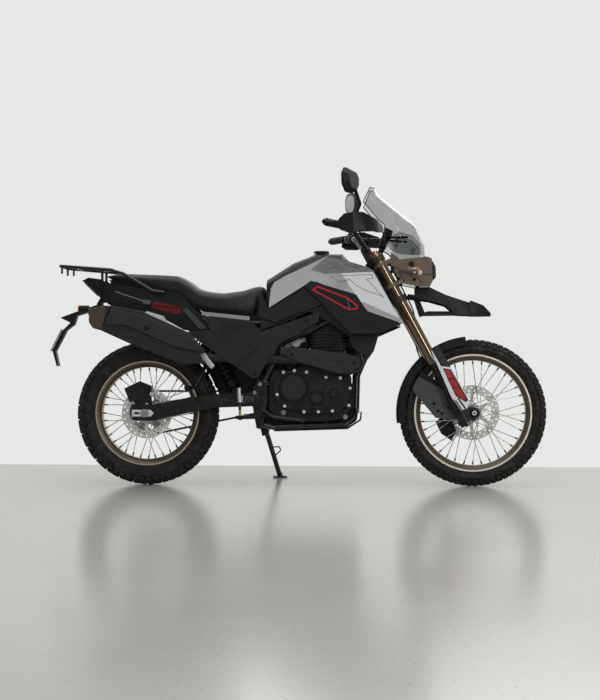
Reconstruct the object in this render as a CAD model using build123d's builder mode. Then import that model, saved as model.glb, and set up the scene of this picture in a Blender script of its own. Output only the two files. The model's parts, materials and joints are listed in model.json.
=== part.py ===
"""A dual sport motorcycle on its side stand, in millimetres.

The machine is drawn upright: X points forward from the rear axle, Y to the machine's left and Z up from the
ground.  export() then leans every piece over to the stand and moves the origin to the bottom centre of the box
that holds the whole machine.
"""

import math
import os

from build123d import *

# ---------------------------------------------------------------- driving sizes
WHEELBASE = 1420.0
LEAN = 3.5  # degrees, towards the side stand
RUN_GAP = 0.08  # radial clearance of a shaft that turns
SEAT_GAP = 0.3  # gap between a piece and what carries it
FIT_GAP = 0.05  # radial clearance of a clamped tube

FRONT_TYRE_R, FRONT_TYRE_W = 319.0, 92.0
REAR_TYRE_R, REAR_TYRE_W = 313.0, 112.0
FRONT_RIM_R, FRONT_RIM_W = 255.0, 60.0
REAR_RIM_R, REAR_RIM_W = 229.0, 76.0
RIM_DEPTH = 28.0
FLANGE_H, FLANGE_T = 12.0, 3.0
SPOKE_COUNT, SPOKE_R, NIPPLE_R, NIPPLE_L = 36, 1.9, 3.2, 16.0
AXLE_R = 8.5
LUG_COUNT, LUG_DEPTH, LUG_GAP = 18, 8.0, 10.0

RAKE = 28.5
FORK_OFFSET = 50.0  # fork legs behind the axle
STEM_OFFSET = 72.0  # steering axis behind the axle
LEG_Y = 92.0
TUBE_R, SLIDER_R = 26.0, 20.5
TUBE_LOW, TUBE_TOP = 270.0, 800.0
LOWER_CLAMP_S, UPPER_CLAMP_S, CLAMP_T = 566.0, 766.0, 28.0
STEM_R, HEAD_TUBE_R = 15.0, 30.0
RISER_Y, RISER_W = 42.0, 26.0
BAR_R, BAR_S = 11.0, 840.0

PIVOT = (500.0, 375.0)
PIVOT_R = 8.0
DRIVE = (574.0, 372.0)
CHAIN_Y = 70.0
SPROCKET_R, DRIVE_R = 90.0, 38.0

FRAME_R = 14.0
TANK_LOW = 754.6

# ---------------------------------------------------------------- shared frames
REAR_AXLE = (0.0, 0.0, REAR_TYRE_R)
FRONT_AXLE = (WHEELBASE, 0.0, FRONT_TYRE_R)
RAKE_SIN, RAKE_COS = math.sin(math.radians(RAKE)), math.cos(math.radians(RAKE))
FORK = Plane(origin=FRONT_AXLE, x_dir=(RAKE_COS, 0, RAKE_SIN), z_dir=(-RAKE_SIN, 0, RAKE_COS))


def fork_point(ahead, left, up):
    """A point of the fork's own frame, in the machine's frame."""
    return (
        WHEELBASE + ahead * RAKE_COS - up * RAKE_SIN,
        left,
        FRONT_TYRE_R + ahead * RAKE_SIN + up * RAKE_COS,
    )


def in_fork(x, z):
    """A side-view point of the machine's frame, as (ahead, up) in the fork's frame."""
    dx, dz = x - WHEELBASE, z - FRONT_TYRE_R
    return (dx * RAKE_COS + dz * RAKE_SIN, -dx * RAKE_SIN + dz * RAKE_COS)


def side(y):
    """The side-view plane at y, with its normal to the machine's right."""
    return Plane.XZ.offset(-y)


def wheel_plane(axle):
    return Plane(origin=axle, x_dir=(0, 1, 0), z_dir=(1, 0, 0))


def tube(points, radius, bend):
    """A round tube along straight runs that tangent arcs join."""
    with BuildLine() as route:
        if len(points) > 2:
            FilletPolyline(*points, radius=bend)
        else:
            Line(*points)
    with BuildSketch(Plane(origin=route.line @ 0, z_dir=route.line % 0)) as section:
        Circle(radius)
    sweep(section.sketch, path=route.line)


def rod(start, end, radius, mode=Mode.ADD):
    """A cylinder from one point to another."""
    axis = Vector(*end) - Vector(*start)
    with BuildSketch(Plane(origin=start, z_dir=axis)) as section:
        Circle(radius)
    extrude(section.sketch, amount=axis.length, mode=mode)


def plate(outline, y, thickness, mode=Mode.ADD):
    """A side-view outline from y towards the machine's right."""
    with BuildSketch(side(y)) as section:
        Polygon(*outline, align=None)
    extrude(section.sketch, amount=thickness, mode=mode)


def pair_of_plates(outline, y, thickness):
    """A side-view outline on both sides, from y outwards."""
    plate(outline, y + thickness, thickness)
    plate(outline, -y, thickness)


def skin(low_z, low, high_z, high, thickness, outline, back=0.0):
    """A pair of body panels: a wall between two plan-view lines of (x, half width), cut to a side-view outline.

    The wall's inner face lies thickness inboard of the line and back behind it.
    """
    faces = []
    for z, line in ((low_z, low), (high_z, high)):
        with BuildSketch(Plane.XY.offset(z)) as level:
            Polygon(
                *[(x, -y) for x, y in line], *[(x - back, thickness - y) for x, y in reversed(line)], align=None
            )
        faces.append(level.sketch)
    loft(faces, ruled=True)
    with BuildSketch(Plane.XZ) as cut:
        Polygon(*outline, align=None)
    extrude(cut.sketch, amount=600, both=True, mode=Mode.INTERSECT)
    mirror(about=Plane.XZ)


def body_of_sections(rows, ruled=False):
    """A solid lofted over cross-sections of (x, low half width, low z, shoulder half width, shoulder z, crown z)."""
    faces = []
    for x, low_w, low_z, top_w, top_z, crown in rows:
        with BuildSketch(Plane(origin=(x, 0, 0), x_dir=(0, 1, 0), z_dir=(1, 0, 0))) as section:
            with BuildLine():
                Polyline((top_w, top_z), (low_w, low_z), (-low_w, low_z), (-top_w, top_z))
                ThreePointArc((-top_w, top_z), (0, crown), (top_w, top_z))
            make_face()
        faces.append(section.sketch)
    loft(faces, ruled=ruled)


def between(a, b, share):
    return tuple(p + (q - p) * share for p, q in zip(a, b))


PIECES = {}


def piece(name, builder):
    """Keeps a finished piece under its node's name."""
    builder.part.label = name
    PIECES[name] = builder.part


# ---------------------------------------------------------------- wheels
def wheel_point(axle, radius, angle, y):
    a = math.radians(angle)
    return (axle[0] + radius * math.cos(a), y, axle[2] + radius * math.sin(a))


def wheel(prefix, axle, tyre_r, tyre_w, rim_r, rim_w, flange_y, flange_r, disc_side, disc_y, disc_r):
    spin = Axis(axle, (0, 1, 0))
    bed_r = rim_r - FLANGE_H
    floor_r = rim_r - RIM_DEPTH
    half, bead = rim_w / 2, rim_w / 2 - FLANGE_T

    mid_r = (rim_r + tyre_r) / 2
    with BuildPart() as tyre:
        with BuildSketch(wheel_plane(axle)):
            with BuildLine():
                section = [
                    (0, tyre_r), (tyre_w * 0.3, tyre_r - 5), (tyre_w / 2 - 4, tyre_r - 19), (tyre_w / 2, mid_r + 2),
                    (half + 2, rim_r + 6), (bead - SEAT_GAP, rim_r), (bead - SEAT_GAP, bed_r + SEAT_GAP),
                ]
                Polyline(*section, *[(-y, r) for y, r in reversed(section[1:])], close=True)
            make_face()
        revolve(axis=spin)
        for i in range(2 * LUG_COUNT):
            hand = 1 if i % 2 else -1
            angle = (i + 0.5) * 180.0 / LUG_COUNT
            foot = wheel_point(axle, tyre_r - LUG_DEPTH, angle, hand * tyre_w * 0.34)
            out = Vector(*foot) - Vector(axle[0], foot[1], axle[2])
            with BuildSketch(Plane(origin=foot, x_dir=(0, 1, 0), z_dir=out)):
                Rectangle(tyre_w * 0.42, LUG_GAP)
            extrude(amount=LUG_DEPTH + 5, mode=Mode.SUBTRACT)
    piece(prefix + "_tyre", tyre)

    with BuildPart() as rim:
        with BuildSketch(wheel_plane(axle)):
            with BuildLine():
                Polyline(
                    (0, bed_r - 4), (bead - 14, bed_r - 4), (bead - 10, bed_r), (bead, bed_r), (bead, rim_r),
                    (half, rim_r), (half, rim_r - 9), (half - 8, rim_r - 20), (half - 16, floor_r), (0, floor_r),
                    close=True,
                )
            make_face()
        revolve(axis=spin)
        mirror(about=Plane.XZ)
        fillet(rim.edges().filter_by(GeomType.CIRCLE).group_by(SortBy.RADIUS)[0], 4)
    piece(prefix + "_rim", rim)

    with BuildPart() as hub:
        with BuildSketch(wheel_plane(axle)):
            with BuildLine():
                Polyline(
                    (0, AXLE_R + RUN_GAP), (flange_y + 14, AXLE_R + RUN_GAP), (flange_y + 14, 29), (flange_y + 3, 29),
                    (flange_y + 3, flange_r), (flange_y - 3, flange_r), (flange_y - 6, 28), (0, 24),
                    close=True,
                )
            make_face()
        revolve(axis=spin)
        mirror(about=Plane.XZ)
        per_side = SPOKE_COUNT // 2
        for i in range(SPOKE_COUNT):
            hand = 1 if i % 2 else -1
            lead = 1 if (i // 2) % 2 else -1
            rim_angle = 360.0 * i / SPOKE_COUNT
            hub_angle = rim_angle + lead * 3.2 * 360.0 / per_side
            foot_y = hand * (flange_y + lead * 2.2)
            foot = wheel_point(axle, flange_r - 5, hub_angle, foot_y)
            tip = wheel_point(axle, floor_r - 1.2, rim_angle, hand * 5.0)
            rod(foot, tip, SPOKE_R)
            length = (Vector(*tip) - Vector(*foot)).length
            rod(between(foot, tip, 1 - NIPPLE_L / length), tip, NIPPLE_R)
    piece(prefix + "_hub", hub)

    with BuildPart() as disc:
        face = Plane(origin=(axle[0], disc_side * disc_y, axle[2]), z_dir=(0, disc_side, 0))
        with BuildSketch(face):
            Circle(disc_r)
            Circle(disc_r - 34, mode=Mode.SUBTRACT)
            with PolarLocations(disc_r - 10, 24):
                Circle(4, mode=Mode.SUBTRACT)
            with PolarLocations(disc_r - 24, 24, start_angle=7.5):
                Circle(4, mode=Mode.SUBTRACT)
        extrude(amount=4)
        with BuildSketch(face):
            Circle(flange_r + 4)
            Circle(24.5, mode=Mode.SUBTRACT)
            with PolarLocations((disc_r - 34 + flange_r) / 2, 6):
                SlotOverall(disc_r - flange_r - 26, 14)
        extrude(amount=4)
    piece(prefix + "_disc", disc)


wheel("front", FRONT_AXLE, FRONT_TYRE_R, FRONT_TYRE_W, FRONT_RIM_R, FRONT_RIM_W, 30, 38, 1, 44.5, 120)
wheel("rear", REAR_AXLE, REAR_TYRE_R, REAR_TYRE_W, REAR_RIM_R, REAR_RIM_W, 30, 42, -1, 44.5, 110)

with BuildPart() as rear_hub:
    add(PIECES["rear_hub"])
    face = Plane(origin=(0, CHAIN_Y + 3, REAR_TYRE_R), z_dir=(0, -1, 0))
    with BuildSketch(face):
        Circle(SPROCKET_R - 1)
        Circle(28, mode=Mode.SUBTRACT)
        with PolarLocations(62, 6):
            Circle(13, mode=Mode.SUBTRACT)
    extrude(amount=6)
    with BuildSketch(Plane(origin=(0, CHAIN_Y - 3, REAR_TYRE_R), z_dir=(0, -1, 0))):
        Circle(46)
        Circle(23, mode=Mode.SUBTRACT)
    extrude(amount=CHAIN_Y - 3 - 31)
piece("rear_hub", rear_hub)

# ---------------------------------------------------------------- fork and steering
with BuildPart() as fork_tubes:
    for hand in (-1, 1):
        with BuildSketch(FORK.offset(TUBE_LOW)):
            with Locations((-FORK_OFFSET, hand * LEG_Y)):
                Circle(TUBE_R)
        extrude(amount=TUBE_TOP - TUBE_LOW)
        with BuildSketch(FORK.offset(TUBE_TOP)):
            with Locations((-FORK_OFFSET, hand * LEG_Y)):
                Circle(TUBE_R - 4)
        extrude(amount=9)
piece("fork_tubes", fork_tubes)

FOOT_TOP = 112.0
AXLE_BOSS_R, AXLE_BOSS_W = 24.0, 40.0
with BuildPart() as fork_legs:
    for hand in (-1, 1):
        with BuildSketch(FORK.offset(FOOT_TOP)):
            with Locations((-FORK_OFFSET, hand * LEG_Y)):
                Circle(SLIDER_R)
        extrude(amount=TUBE_LOW - FOOT_TOP - 0.02)
        with BuildSketch(FORK.offset(-30)):
            with Locations((-FORK_OFFSET, hand * LEG_Y)):
                Circle(TUBE_R + 1)
        extrude(amount=FOOT_TOP + 30)
        with BuildSketch(Plane(origin=(WHEELBASE, hand * LEG_Y + AXLE_BOSS_W / 2, FRONT_TYRE_R),
                               x_dir=FORK.x_dir, z_dir=(0, -1, 0))):
            Circle(AXLE_BOSS_R)
            with Locations((-FORK_OFFSET, -18)):
                Circle(18)
            with Locations((-FORK_OFFSET, 44)):
                Circle(18)
            make_hull()
        extrude(amount=AXLE_BOSS_W)
    rod((WHEELBASE, -150, FRONT_TYRE_R), (WHEELBASE, 150, FRONT_TYRE_R), AXLE_R + FIT_GAP, mode=Mode.SUBTRACT)
piece("fork_legs", fork_legs)

with BuildPart() as front_axle:
    rod((WHEELBASE, -120, FRONT_TYRE_R), (WHEELBASE, 120, FRONT_TYRE_R), AXLE_R)
    for hand in (-1, 1):
        rod((WHEELBASE, hand * (LEG_Y + AXLE_BOSS_W / 2 + SEAT_GAP), FRONT_TYRE_R), (WHEELBASE, hand * 124, FRONT_TYRE_R), 15)
        rod((WHEELBASE, hand * (30 + 14 + SEAT_GAP), FRONT_TYRE_R),
            (WHEELBASE, hand * (LEG_Y - AXLE_BOSS_W / 2 - SEAT_GAP), FRONT_TYRE_R), 14)
piece("front_axle", front_axle)

GUARD_GAP, GUARD_WALL = 1.5, 4.0
GUARD_IN = TUBE_R + 1 + GUARD_GAP  # inner face, outboard of the leg's axis
GUARD_SHAPE = [(1235, 585), (1265, 612), (1408, 372), (1388, 338), (1360, 330), (1321, 388)]
with BuildPart() as fork_guards:
    for hand in (-1, 1):
        with BuildSketch(FORK):
            Polygon(
                *[(ahead, hand * (LEG_Y + left)) for ahead, left in (
                    (-60, GUARD_IN), (-24, GUARD_IN + 1), (1, 12), (5, -8), (9, -8), (5, 14),
                    (-22, GUARD_IN + GUARD_WALL + 1), (-60, GUARD_IN + GUARD_WALL),
                )], align=None,
            )
        extrude(amount=TUBE_LOW + 80)
    with BuildSketch(Plane.XZ):
        Polygon(*GUARD_SHAPE, align=None)
    extrude(amount=200, both=True, mode=Mode.INTERSECT)
    for hand in (-1, 1):
        for up, leg_r in ((FOOT_TOP - 30, TUBE_R + 1), (TUBE_LOW + 14, TUBE_R)):
            rod(fork_point(12 - FORK_OFFSET, hand * (LEG_Y + leg_r + RUN_GAP), up),
                fork_point(12 - FORK_OFFSET, hand * (LEG_Y + GUARD_IN + 1), up), 6)
piece("fork_guards", fork_guards)


def clamp_plan(boss_r, stem_r):
    """The plan outline of a fork clamp."""
    for hand in (-1, 1):
        with Locations((-FORK_OFFSET, hand * LEG_Y)):
            Circle(boss_r)
    with Locations((-STEM_OFFSET, 0)):
        Circle(stem_r)
    make_hull()


with BuildPart() as fork_clamps:
    with BuildSketch(FORK.offset(LOWER_CLAMP_S)):
        clamp_plan(TUBE_R + 8, 34)
    extrude(amount=CLAMP_T)
    for hand in (-1, 1):
        with BuildSketch(FORK.offset(LOWER_CLAMP_S - 1)):
            with Locations((-FORK_OFFSET, hand * LEG_Y)):
                Circle(TUBE_R + FIT_GAP)
        extrude(amount=CLAMP_T + 2, mode=Mode.SUBTRACT)
    with BuildSketch(FORK.offset(LOWER_CLAMP_S + CLAMP_T)):
        with Locations((-STEM_OFFSET, 0)):
            Circle(STEM_R)
    extrude(amount=UPPER_CLAMP_S - LOWER_CLAMP_S - CLAMP_T + 1)
    with BuildSketch(FORK.offset(UPPER_CLAMP_S)):
        clamp_plan(TUBE_R + 7, 32)
    extrude(amount=CLAMP_T - 4)
    for hand in (-1, 1):
        with BuildSketch(FORK.offset(UPPER_CLAMP_S - 1)):
            with Locations((-FORK_OFFSET, hand * LEG_Y)):
                Circle(TUBE_R + FIT_GAP)
        extrude(amount=CLAMP_T + 2, mode=Mode.SUBTRACT)
        with BuildSketch(FORK.offset(UPPER_CLAMP_S + CLAMP_T - 4)):
            with Locations((-STEM_OFFSET, hand * RISER_Y)):
                RectangleRounded(40, RISER_W, 5)
        extrude(amount=BAR_S + 17 - UPPER_CLAMP_S - CLAMP_T + 4)
    rod(fork_point(-STEM_OFFSET, -80, BAR_S), fork_point(-STEM_OFFSET, 80, BAR_S), BAR_R + FIT_GAP, mode=Mode.SUBTRACT)
piece("fork_clamps", fork_clamps)

BAR_MID = fork_point(-STEM_OFFSET, 0, BAR_S)
BAR_INNER, GRIP_IN, BAR_END = (905.0, 170.0, 1093.0), (868.0, 275.0, 1106.0), (796.0, 400.0, 1108.0)
BAR_HALF = [(BAR_MID[0], 70.0, BAR_MID[2]), BAR_INNER, GRIP_IN, BAR_END]


def on_side(point, hand):
    return (point[0], hand * point[1], point[2])


with BuildPart() as handlebar:
    tube([on_side(p, -1) for p in reversed(BAR_HALF)] + [on_side(p, 1) for p in BAR_HALF], BAR_R, [90, 50, 36, 36, 50, 90])
piece("handlebar", handlebar)

GRIP_START, GRIP_R = 0.12, 16.5
with BuildPart() as grips:
    for hand in (-1, 1):
        a, b = on_side(GRIP_IN, hand), on_side(BAR_END, hand)
        rod(between(a, b, GRIP_START), between(a, b, 1.03), GRIP_R)
        rod(a, between(a, b, 1.003), BAR_R + FIT_GAP, mode=Mode.SUBTRACT)
piece("grips", grips)

with BuildPart() as controls:
    for hand in (-1, 1):
        a, b = on_side(GRIP_IN, hand), on_side(BAR_INNER, hand)
        rod(between(a, b, 0.12), between(a, b, 0.34), 20)
        rod(between(a, b, 0.45), between(a, b, 0.62), 17)
        pivot = (a[0] + 34, a[1] - hand * 8, a[2] - 6)
        rod(between(a, b, 0.5), pivot, 10)
        rod(pivot, (a[0] + 36, hand * 300, a[2] - 6), 6)
        rod((a[0] + 36, hand * 296, a[2] - 6), (a[0] + 16, hand * 384, a[2] - 8), 5.5)
        rod(a, b, BAR_R + FIT_GAP, mode=Mode.SUBTRACT)
piece("controls", controls)

MIRROR = (880.0, 385.0, 1281.0)
MIRROR_TOE = math.radians(22.0)  # each glass faces the rider
MIRROR_SHAPE = [(-62, -22), (-34, -50), (28, -50), (64, -20), (68, 24), (44, 50), (-28, 48), (-62, 22)]  # outward, up
STALK_R = 7.5
with BuildPart() as mirrors:
    for hand in (-1, 1):
        tube([(885.7, hand * 250.9, 1122.3), (910, hand * 258, 1152), (931, hand * 298, 1196), (912, hand * 350, 1246)],
             STALK_R, 24)
        toe_sin, toe_cos = math.sin(MIRROR_TOE), math.cos(MIRROR_TOE)
        glass = Plane(
            origin=on_side(MIRROR, hand), x_dir=(-hand * toe_sin, toe_cos, 0), z_dir=(toe_cos, hand * toe_sin, 0)
        )
        for depth, thickness, taper in ((0.0, 10.0, 0.0), (10.0, 22.0, 34.0)):
            with BuildSketch(glass.offset(depth)) as head:
                Polygon(*[(hand * out, up) for out, up in MIRROR_SHAPE], align=None)
                fillet(head.vertices(), 18)
            extrude(amount=thickness, taper=taper)
piece("mirrors", mirrors)

GUARD_PLAN = [(838, 426), (905, 418), (962, 392), (1003, 345), (1024, 280), (1028, 200)]
with BuildPart() as hand_guards:
    skin(
        1060, [(x + 4, y) for x, y in GUARD_PLAN], 1150, [(x - 4, y - 3) for x, y in GUARD_PLAN], 3,
        [(838, 1084), (844, 1118), (868, 1142), (940, 1152), (1003, 1124), (1036, 1096), (1034, 1082), (1003, 1070),
         (950, 1080), (912, 1068), (858, 1070)],
        back=3.5,
    )
    for hand in (-1, 1):
        a, b = on_side(GRIP_IN, hand), on_side(BAR_END, hand)
        rod(between(a, b, 1.034), between(a, b, 1.16), 10)
        rod(between(a, b, 1.14), (843, hand * 424.5, 1106), 6)
        rod((1025.5, hand * 206, 1096), (914, hand * 190, 1096), 6)
piece("hand_guards", hand_guards)

with BuildPart() as instrument:
    with BuildSketch(side(66)):
        Polygon((1010, 1040), (1040, 1036), (1072, 1106), (1040, 1122), align=None)
    extrude(amount=132)
    with BuildSketch(side(20)):
        Polygon((1004, 993.2), (1021.5, 1002.6), (1040, 1037), (1014, 1041), align=None)
    extrude(amount=40)
    for hand in (-1, 1):
        rod((1048, hand * 60, 1078), (1135.1, hand * 100.6, 1075), 5)
piece("instrument", instrument)

with BuildPart() as headlight:
    with BuildSketch(side(84)):
        Polygon((1112, 880), (1170, 868), (1228, 868), (1238, 892), (1234, 978), (1216, 988), (1108, 978), align=None)
    extrude(amount=168)
    with BuildSketch(side(72)):
        Polygon((1238.5, 892), (1252, 896), (1248, 972), (1235, 976), align=None)
    extrude(amount=144)
piece("headlight", headlight)

with BuildPart() as nacelle:
    pair_of_plates(
        [(1064, 1012), (1103, 982), (1221, 993), (1240, 984), (1243, 888), (1232, 866), (1171, 866), (1119, 877),
         (1104, 880), (1060, 968)], 84.5, 5
    )
    for hand in (-1, 1):
        for s in (640.0, 742.0):
            with BuildSketch(FORK.offset(s)):
                with Locations((-FORK_OFFSET, hand * LEG_Y)):
                    Circle(TUBE_R + 5)
                with Locations((-FORK_OFFSET + 22, hand * LEG_Y)):
                    Rectangle(56, 12)
                with Locations((-FORK_OFFSET, hand * LEG_Y)):
                    Circle(TUBE_R + FIT_GAP, mode=Mode.SUBTRACT)
            extrude(amount=16)
        rod((1150, hand * 88, 922), (1150, hand * 130, 926), 5)
        rod((1134, hand * 142, 928), (1178, hand * 142, 928), 15)
piece("nacelle", nacelle)

SCREEN = [  # height, centre x, edge x, half width
    (1000.0, 1214.0, 1092.0, 108.0),
    (1046.0, 1211.0, 1036.0, 118.0),
    (1128.0, 1176.0, 1038.0, 124.0),
    (1143.0, 1162.0, 1017.0, 124.0),
    (1230.0, 1054.0, 945.0, 112.0),
    (1264.0, 1013.0, 960.0, 98.0),
    (1297.0, 994.0, 974.0, 62.0),
]
with BuildPart() as windscreen:
    levels = []
    for z, mid, edge, half in SCREEN:
        with BuildSketch(Plane.XY.offset(z)) as level:
            with BuildLine():
                ThreePointArc((edge, -half), (mid, 0), (edge, half))
                Line((edge, half), (edge - 4, half - 4))
                ThreePointArc((edge - 4, half - 4), (mid - 4, 0), (edge - 4, 4 - half))
                Line((edge - 4, 4 - half), (edge, -half))
            make_face()
        levels.append(level.sketch)
    loft(levels, ruled=True)
piece("windscreen", windscreen)

BEAK = [  # x, half width, low z, top z
    (1168.0, 82.0, 812.0, 862.0),
    (1230.0, 80.0, 804.0, 863.0),
    (1300.0, 74.0, 784.0, 830.0),
    (1346.0, 68.0, 744.0, 815.0),
    (1403.0, 58.0, 741.0, 797.0),
    (1409.0, 58.0, 740.0, 806.0),
    (1465.0, 38.0, 739.0, 786.0),
    (1498.0, 16.0, 739.0, 753.0),
]
STRUT = [(1188, 737), (1206, 753), (1224, 758), (1345, 758), (1352, 745), (1210, 743)]
with BuildPart() as beak:
    for inset, mode in ((0.0, Mode.ADD), (4.0, Mode.SUBTRACT)):
        faces = []
        for x, half, low, top in BEAK:
            low = low - inset * 0.5
            with BuildSketch(Plane(origin=(x, 0, 0), x_dir=(0, 1, 0), z_dir=(1, 0, 0))) as section:
                Polygon(
                    (inset - half, low), (half - inset, low), (half * 0.78 - inset, top - inset),
                    (inset - half * 0.78, top - inset), align=None,
                )
            faces.append(section.sketch)
        loft(faces, ruled=True, mode=mode)
    for hand in (-1, 1):
        rod((1180, hand * 56, 850), (1180, hand * 56, 867.5), 7)
        rod((1188, hand * 77, 816), fork_point(-7.5, hand * 64, LOWER_CLAMP_S + 14), 8)
    pair_of_plates(STRUT, 52, 15)
piece("beak", beak)

FENDER_R = FRONT_TYRE_R + 9
with BuildPart() as front_fender:
    with BuildSketch(wheel_plane(FRONT_AXLE)):
        with BuildLine():
            Polyline(
                (58, FENDER_R - 34), (58, FENDER_R - 4), (48, FENDER_R + 4), (-48, FENDER_R + 4), (-58, FENDER_R - 4),
                (-58, FENDER_R - 34), (-55, FENDER_R - 34), (-55, FENDER_R - 5), (-47, FENDER_R + 1),
                (47, FENDER_R + 1), (55, FENDER_R - 5), (55, FENDER_R - 34), close=True,
            )
        make_face()
    revolve(axis=Axis(FRONT_AXLE, (0, -1, 0)), revolution_arc=92)
fender_turn = Location(FRONT_AXLE) * Rotation(0, -6, 0) * Location(tuple(-v for v in FRONT_AXLE))
with BuildPart() as fender_and_brackets:
    add(fender_turn * front_fender.part)
    plate([(1184, 506), (1142, 440), (1150, 412), (1256, 318), (1342, 318), (1376, 376), (1300, 430), (1246, 470)], 64.6, 6)
    plate([(1196, 500), (1156, 424), (1164, 408), (1257, 297), (1350, 290), (1378, 322), (1376, 372), (1302, 412),
           (1256, 462)], -58.6, 6)
piece("front_fender", fender_and_brackets)

with BuildPart() as front_caliper:
    with BuildSketch(side(64)):
        with BuildLine():
            Polyline(
                (1262, 276), (1286, 226), (1330, 196), (1352, 232), (1345, 262), (1322, 296), (1286, 302), close=True
            )
        make_face()
    extrude(amount=34)
    with BuildSketch(Plane(origin=(WHEELBASE, 50.5, FRONT_TYRE_R), z_dir=(0, -1, 0))):
        Circle(123)
    extrude(amount=8, mode=Mode.SUBTRACT)
    plate([(1318, 300), (1348, 262), (1376, 290), (1352, 316)], 64.6, 8.6)
piece("front_caliper", front_caliper)

HOSE_R = 3.2
HOSE = [(902, -222, 1100), (948, -200, 1080), (988, -158, 1042), (1028, -106, 1016), (1064, -50, 1000), (1082, 6, 960),
        (1096, 38, 904), (1120, 46, 852), (1149, 40, 802)]
HOSE += [fork_point(*p) for p in (
    (-16, 44, 494), (-50, 53, 430), (-80, 65, 364), (-86, 71, 290), (-84, 70, 216), (-86, 71, 146), (-87, 72, 82),
    (-94, 69, 40), (-112, 59, 14))]
with BuildPart() as brake_hose:
    bends = []
    for back, at, ahead in zip(HOSE, HOSE[1:], HOSE[2:]):
        first, second = Vector(*at) - Vector(*back), Vector(*ahead) - Vector(*at)
        turn = math.radians(first.get_angle(second))
        bends.append(0.45 * min(first.length, second.length) / math.tan(turn / 2))
    print("hose bends", [round(bend) for bend in bends])
    tube(HOSE, HOSE_R, bends)
piece("brake_hose", brake_hose)

# ---------------------------------------------------------------- frame and engine
LEAN_SIN, LEAN_COS = math.sin(math.radians(LEAN)), math.cos(math.radians(LEAN))
STAND_HINGE, STAND_PIN_R = Vector(508, 137, 236), 6.0
FOOT = Vector(564, 282, 282 * LEAN_SIN / LEAN_COS)
FOLDED = Vector(-0.985, 0.11, 0.13)  # the way the leg points when it is folded back
STAND_AXIS = (FOOT - STAND_HINGE).normalized().cross(FOLDED).normalized()


def stand_point(along):
    """A point on the side stand's hinge line."""
    return tuple(STAND_HINGE + STAND_AXIS * along)


HEAD_LOW, HEAD_TOP = LOWER_CLAMP_S + CLAMP_T + 1, UPPER_CLAMP_S - 1
with BuildPart() as frame:
    with BuildSketch(FORK.offset(HEAD_LOW)):
        with Locations((-STEM_OFFSET, 0)):
            Circle(HEAD_TUBE_R)
    extrude(amount=HEAD_TOP - HEAD_LOW)
    tube([fork_point(-STEM_OFFSET - 4, 0, 668), (1000, 0, 790), (962, 0, 590), (914, 0, 480), (910, 0, 316)], 17, 40)
    for hand in (-1, 1):
        tube(
            [(912, hand * 10, 330), (905, hand * 42, 290), (868, hand * 64, 266), (560, hand * 70, 253),
             (505, hand * 92, 268)], 12, 14,
        )
        tube(
            [fork_point(-STEM_OFFSET - 10, hand * 16, 650), (900, hand * 58, 775), (700, hand * 82, 668),
             (598, hand * 90, 622), (512, hand * 98, 444)], FRAME_R, 50,
        )
        tube([(744, hand * 77, 692), (598, hand * 84, 704), (250, hand * 66, 708), (150, hand * 62, 772),
              (-205, hand * 46, 868)], 11, 40)
        tube([(505, hand * 98, 452), (430, hand * 84, 520), (60, hand * 60, 790)], 10, 40)
        rod((640, hand * 80, 700), (640, hand * 80, TANK_LOW - SEAT_GAP), 8)
    pair_of_plates([(468, 348), (470, 420), (492, 462), (526, 448), (534, 380), (520, 300), (508, 246), (486, 250)], 107, 8)
    for x, z, half in ((606, 704, 84), (264, 653.6, 74), (250, 708, 64), (-100, 842, 54)):
        rod((x, -half, z), (x, half, z), 9)
    rod((506, -110, 262), (506, 110, 262), 10)
    rod((524, -110, 446), (524, 110, 446), 9)
    with BuildSketch(FORK.offset(HEAD_LOW - 1)):
        with Locations((-STEM_OFFSET, 0)):
            Circle(STEM_R + RUN_GAP)
    extrude(amount=HEAD_TOP - HEAD_LOW + 2, mode=Mode.SUBTRACT)
    rod((PIVOT[0], -116, PIVOT[1]), (PIVOT[0], 116, PIVOT[1]), PIVOT_R)
    for hand in (-1, 1):
        rod((PIVOT[0], hand * 114, PIVOT[1]), (PIVOT[0], hand * 124, PIVOT[1]), 14)
        rod((506, hand * 110, 300), (506, hand * 126, 300), 12)
    plate([(484, 252), (516, 250), (522, 214), (494, 210)], 115, 8)
    rod(stand_point(-30), stand_point(14), STAND_PIN_R)
piece("frame", frame)

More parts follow.
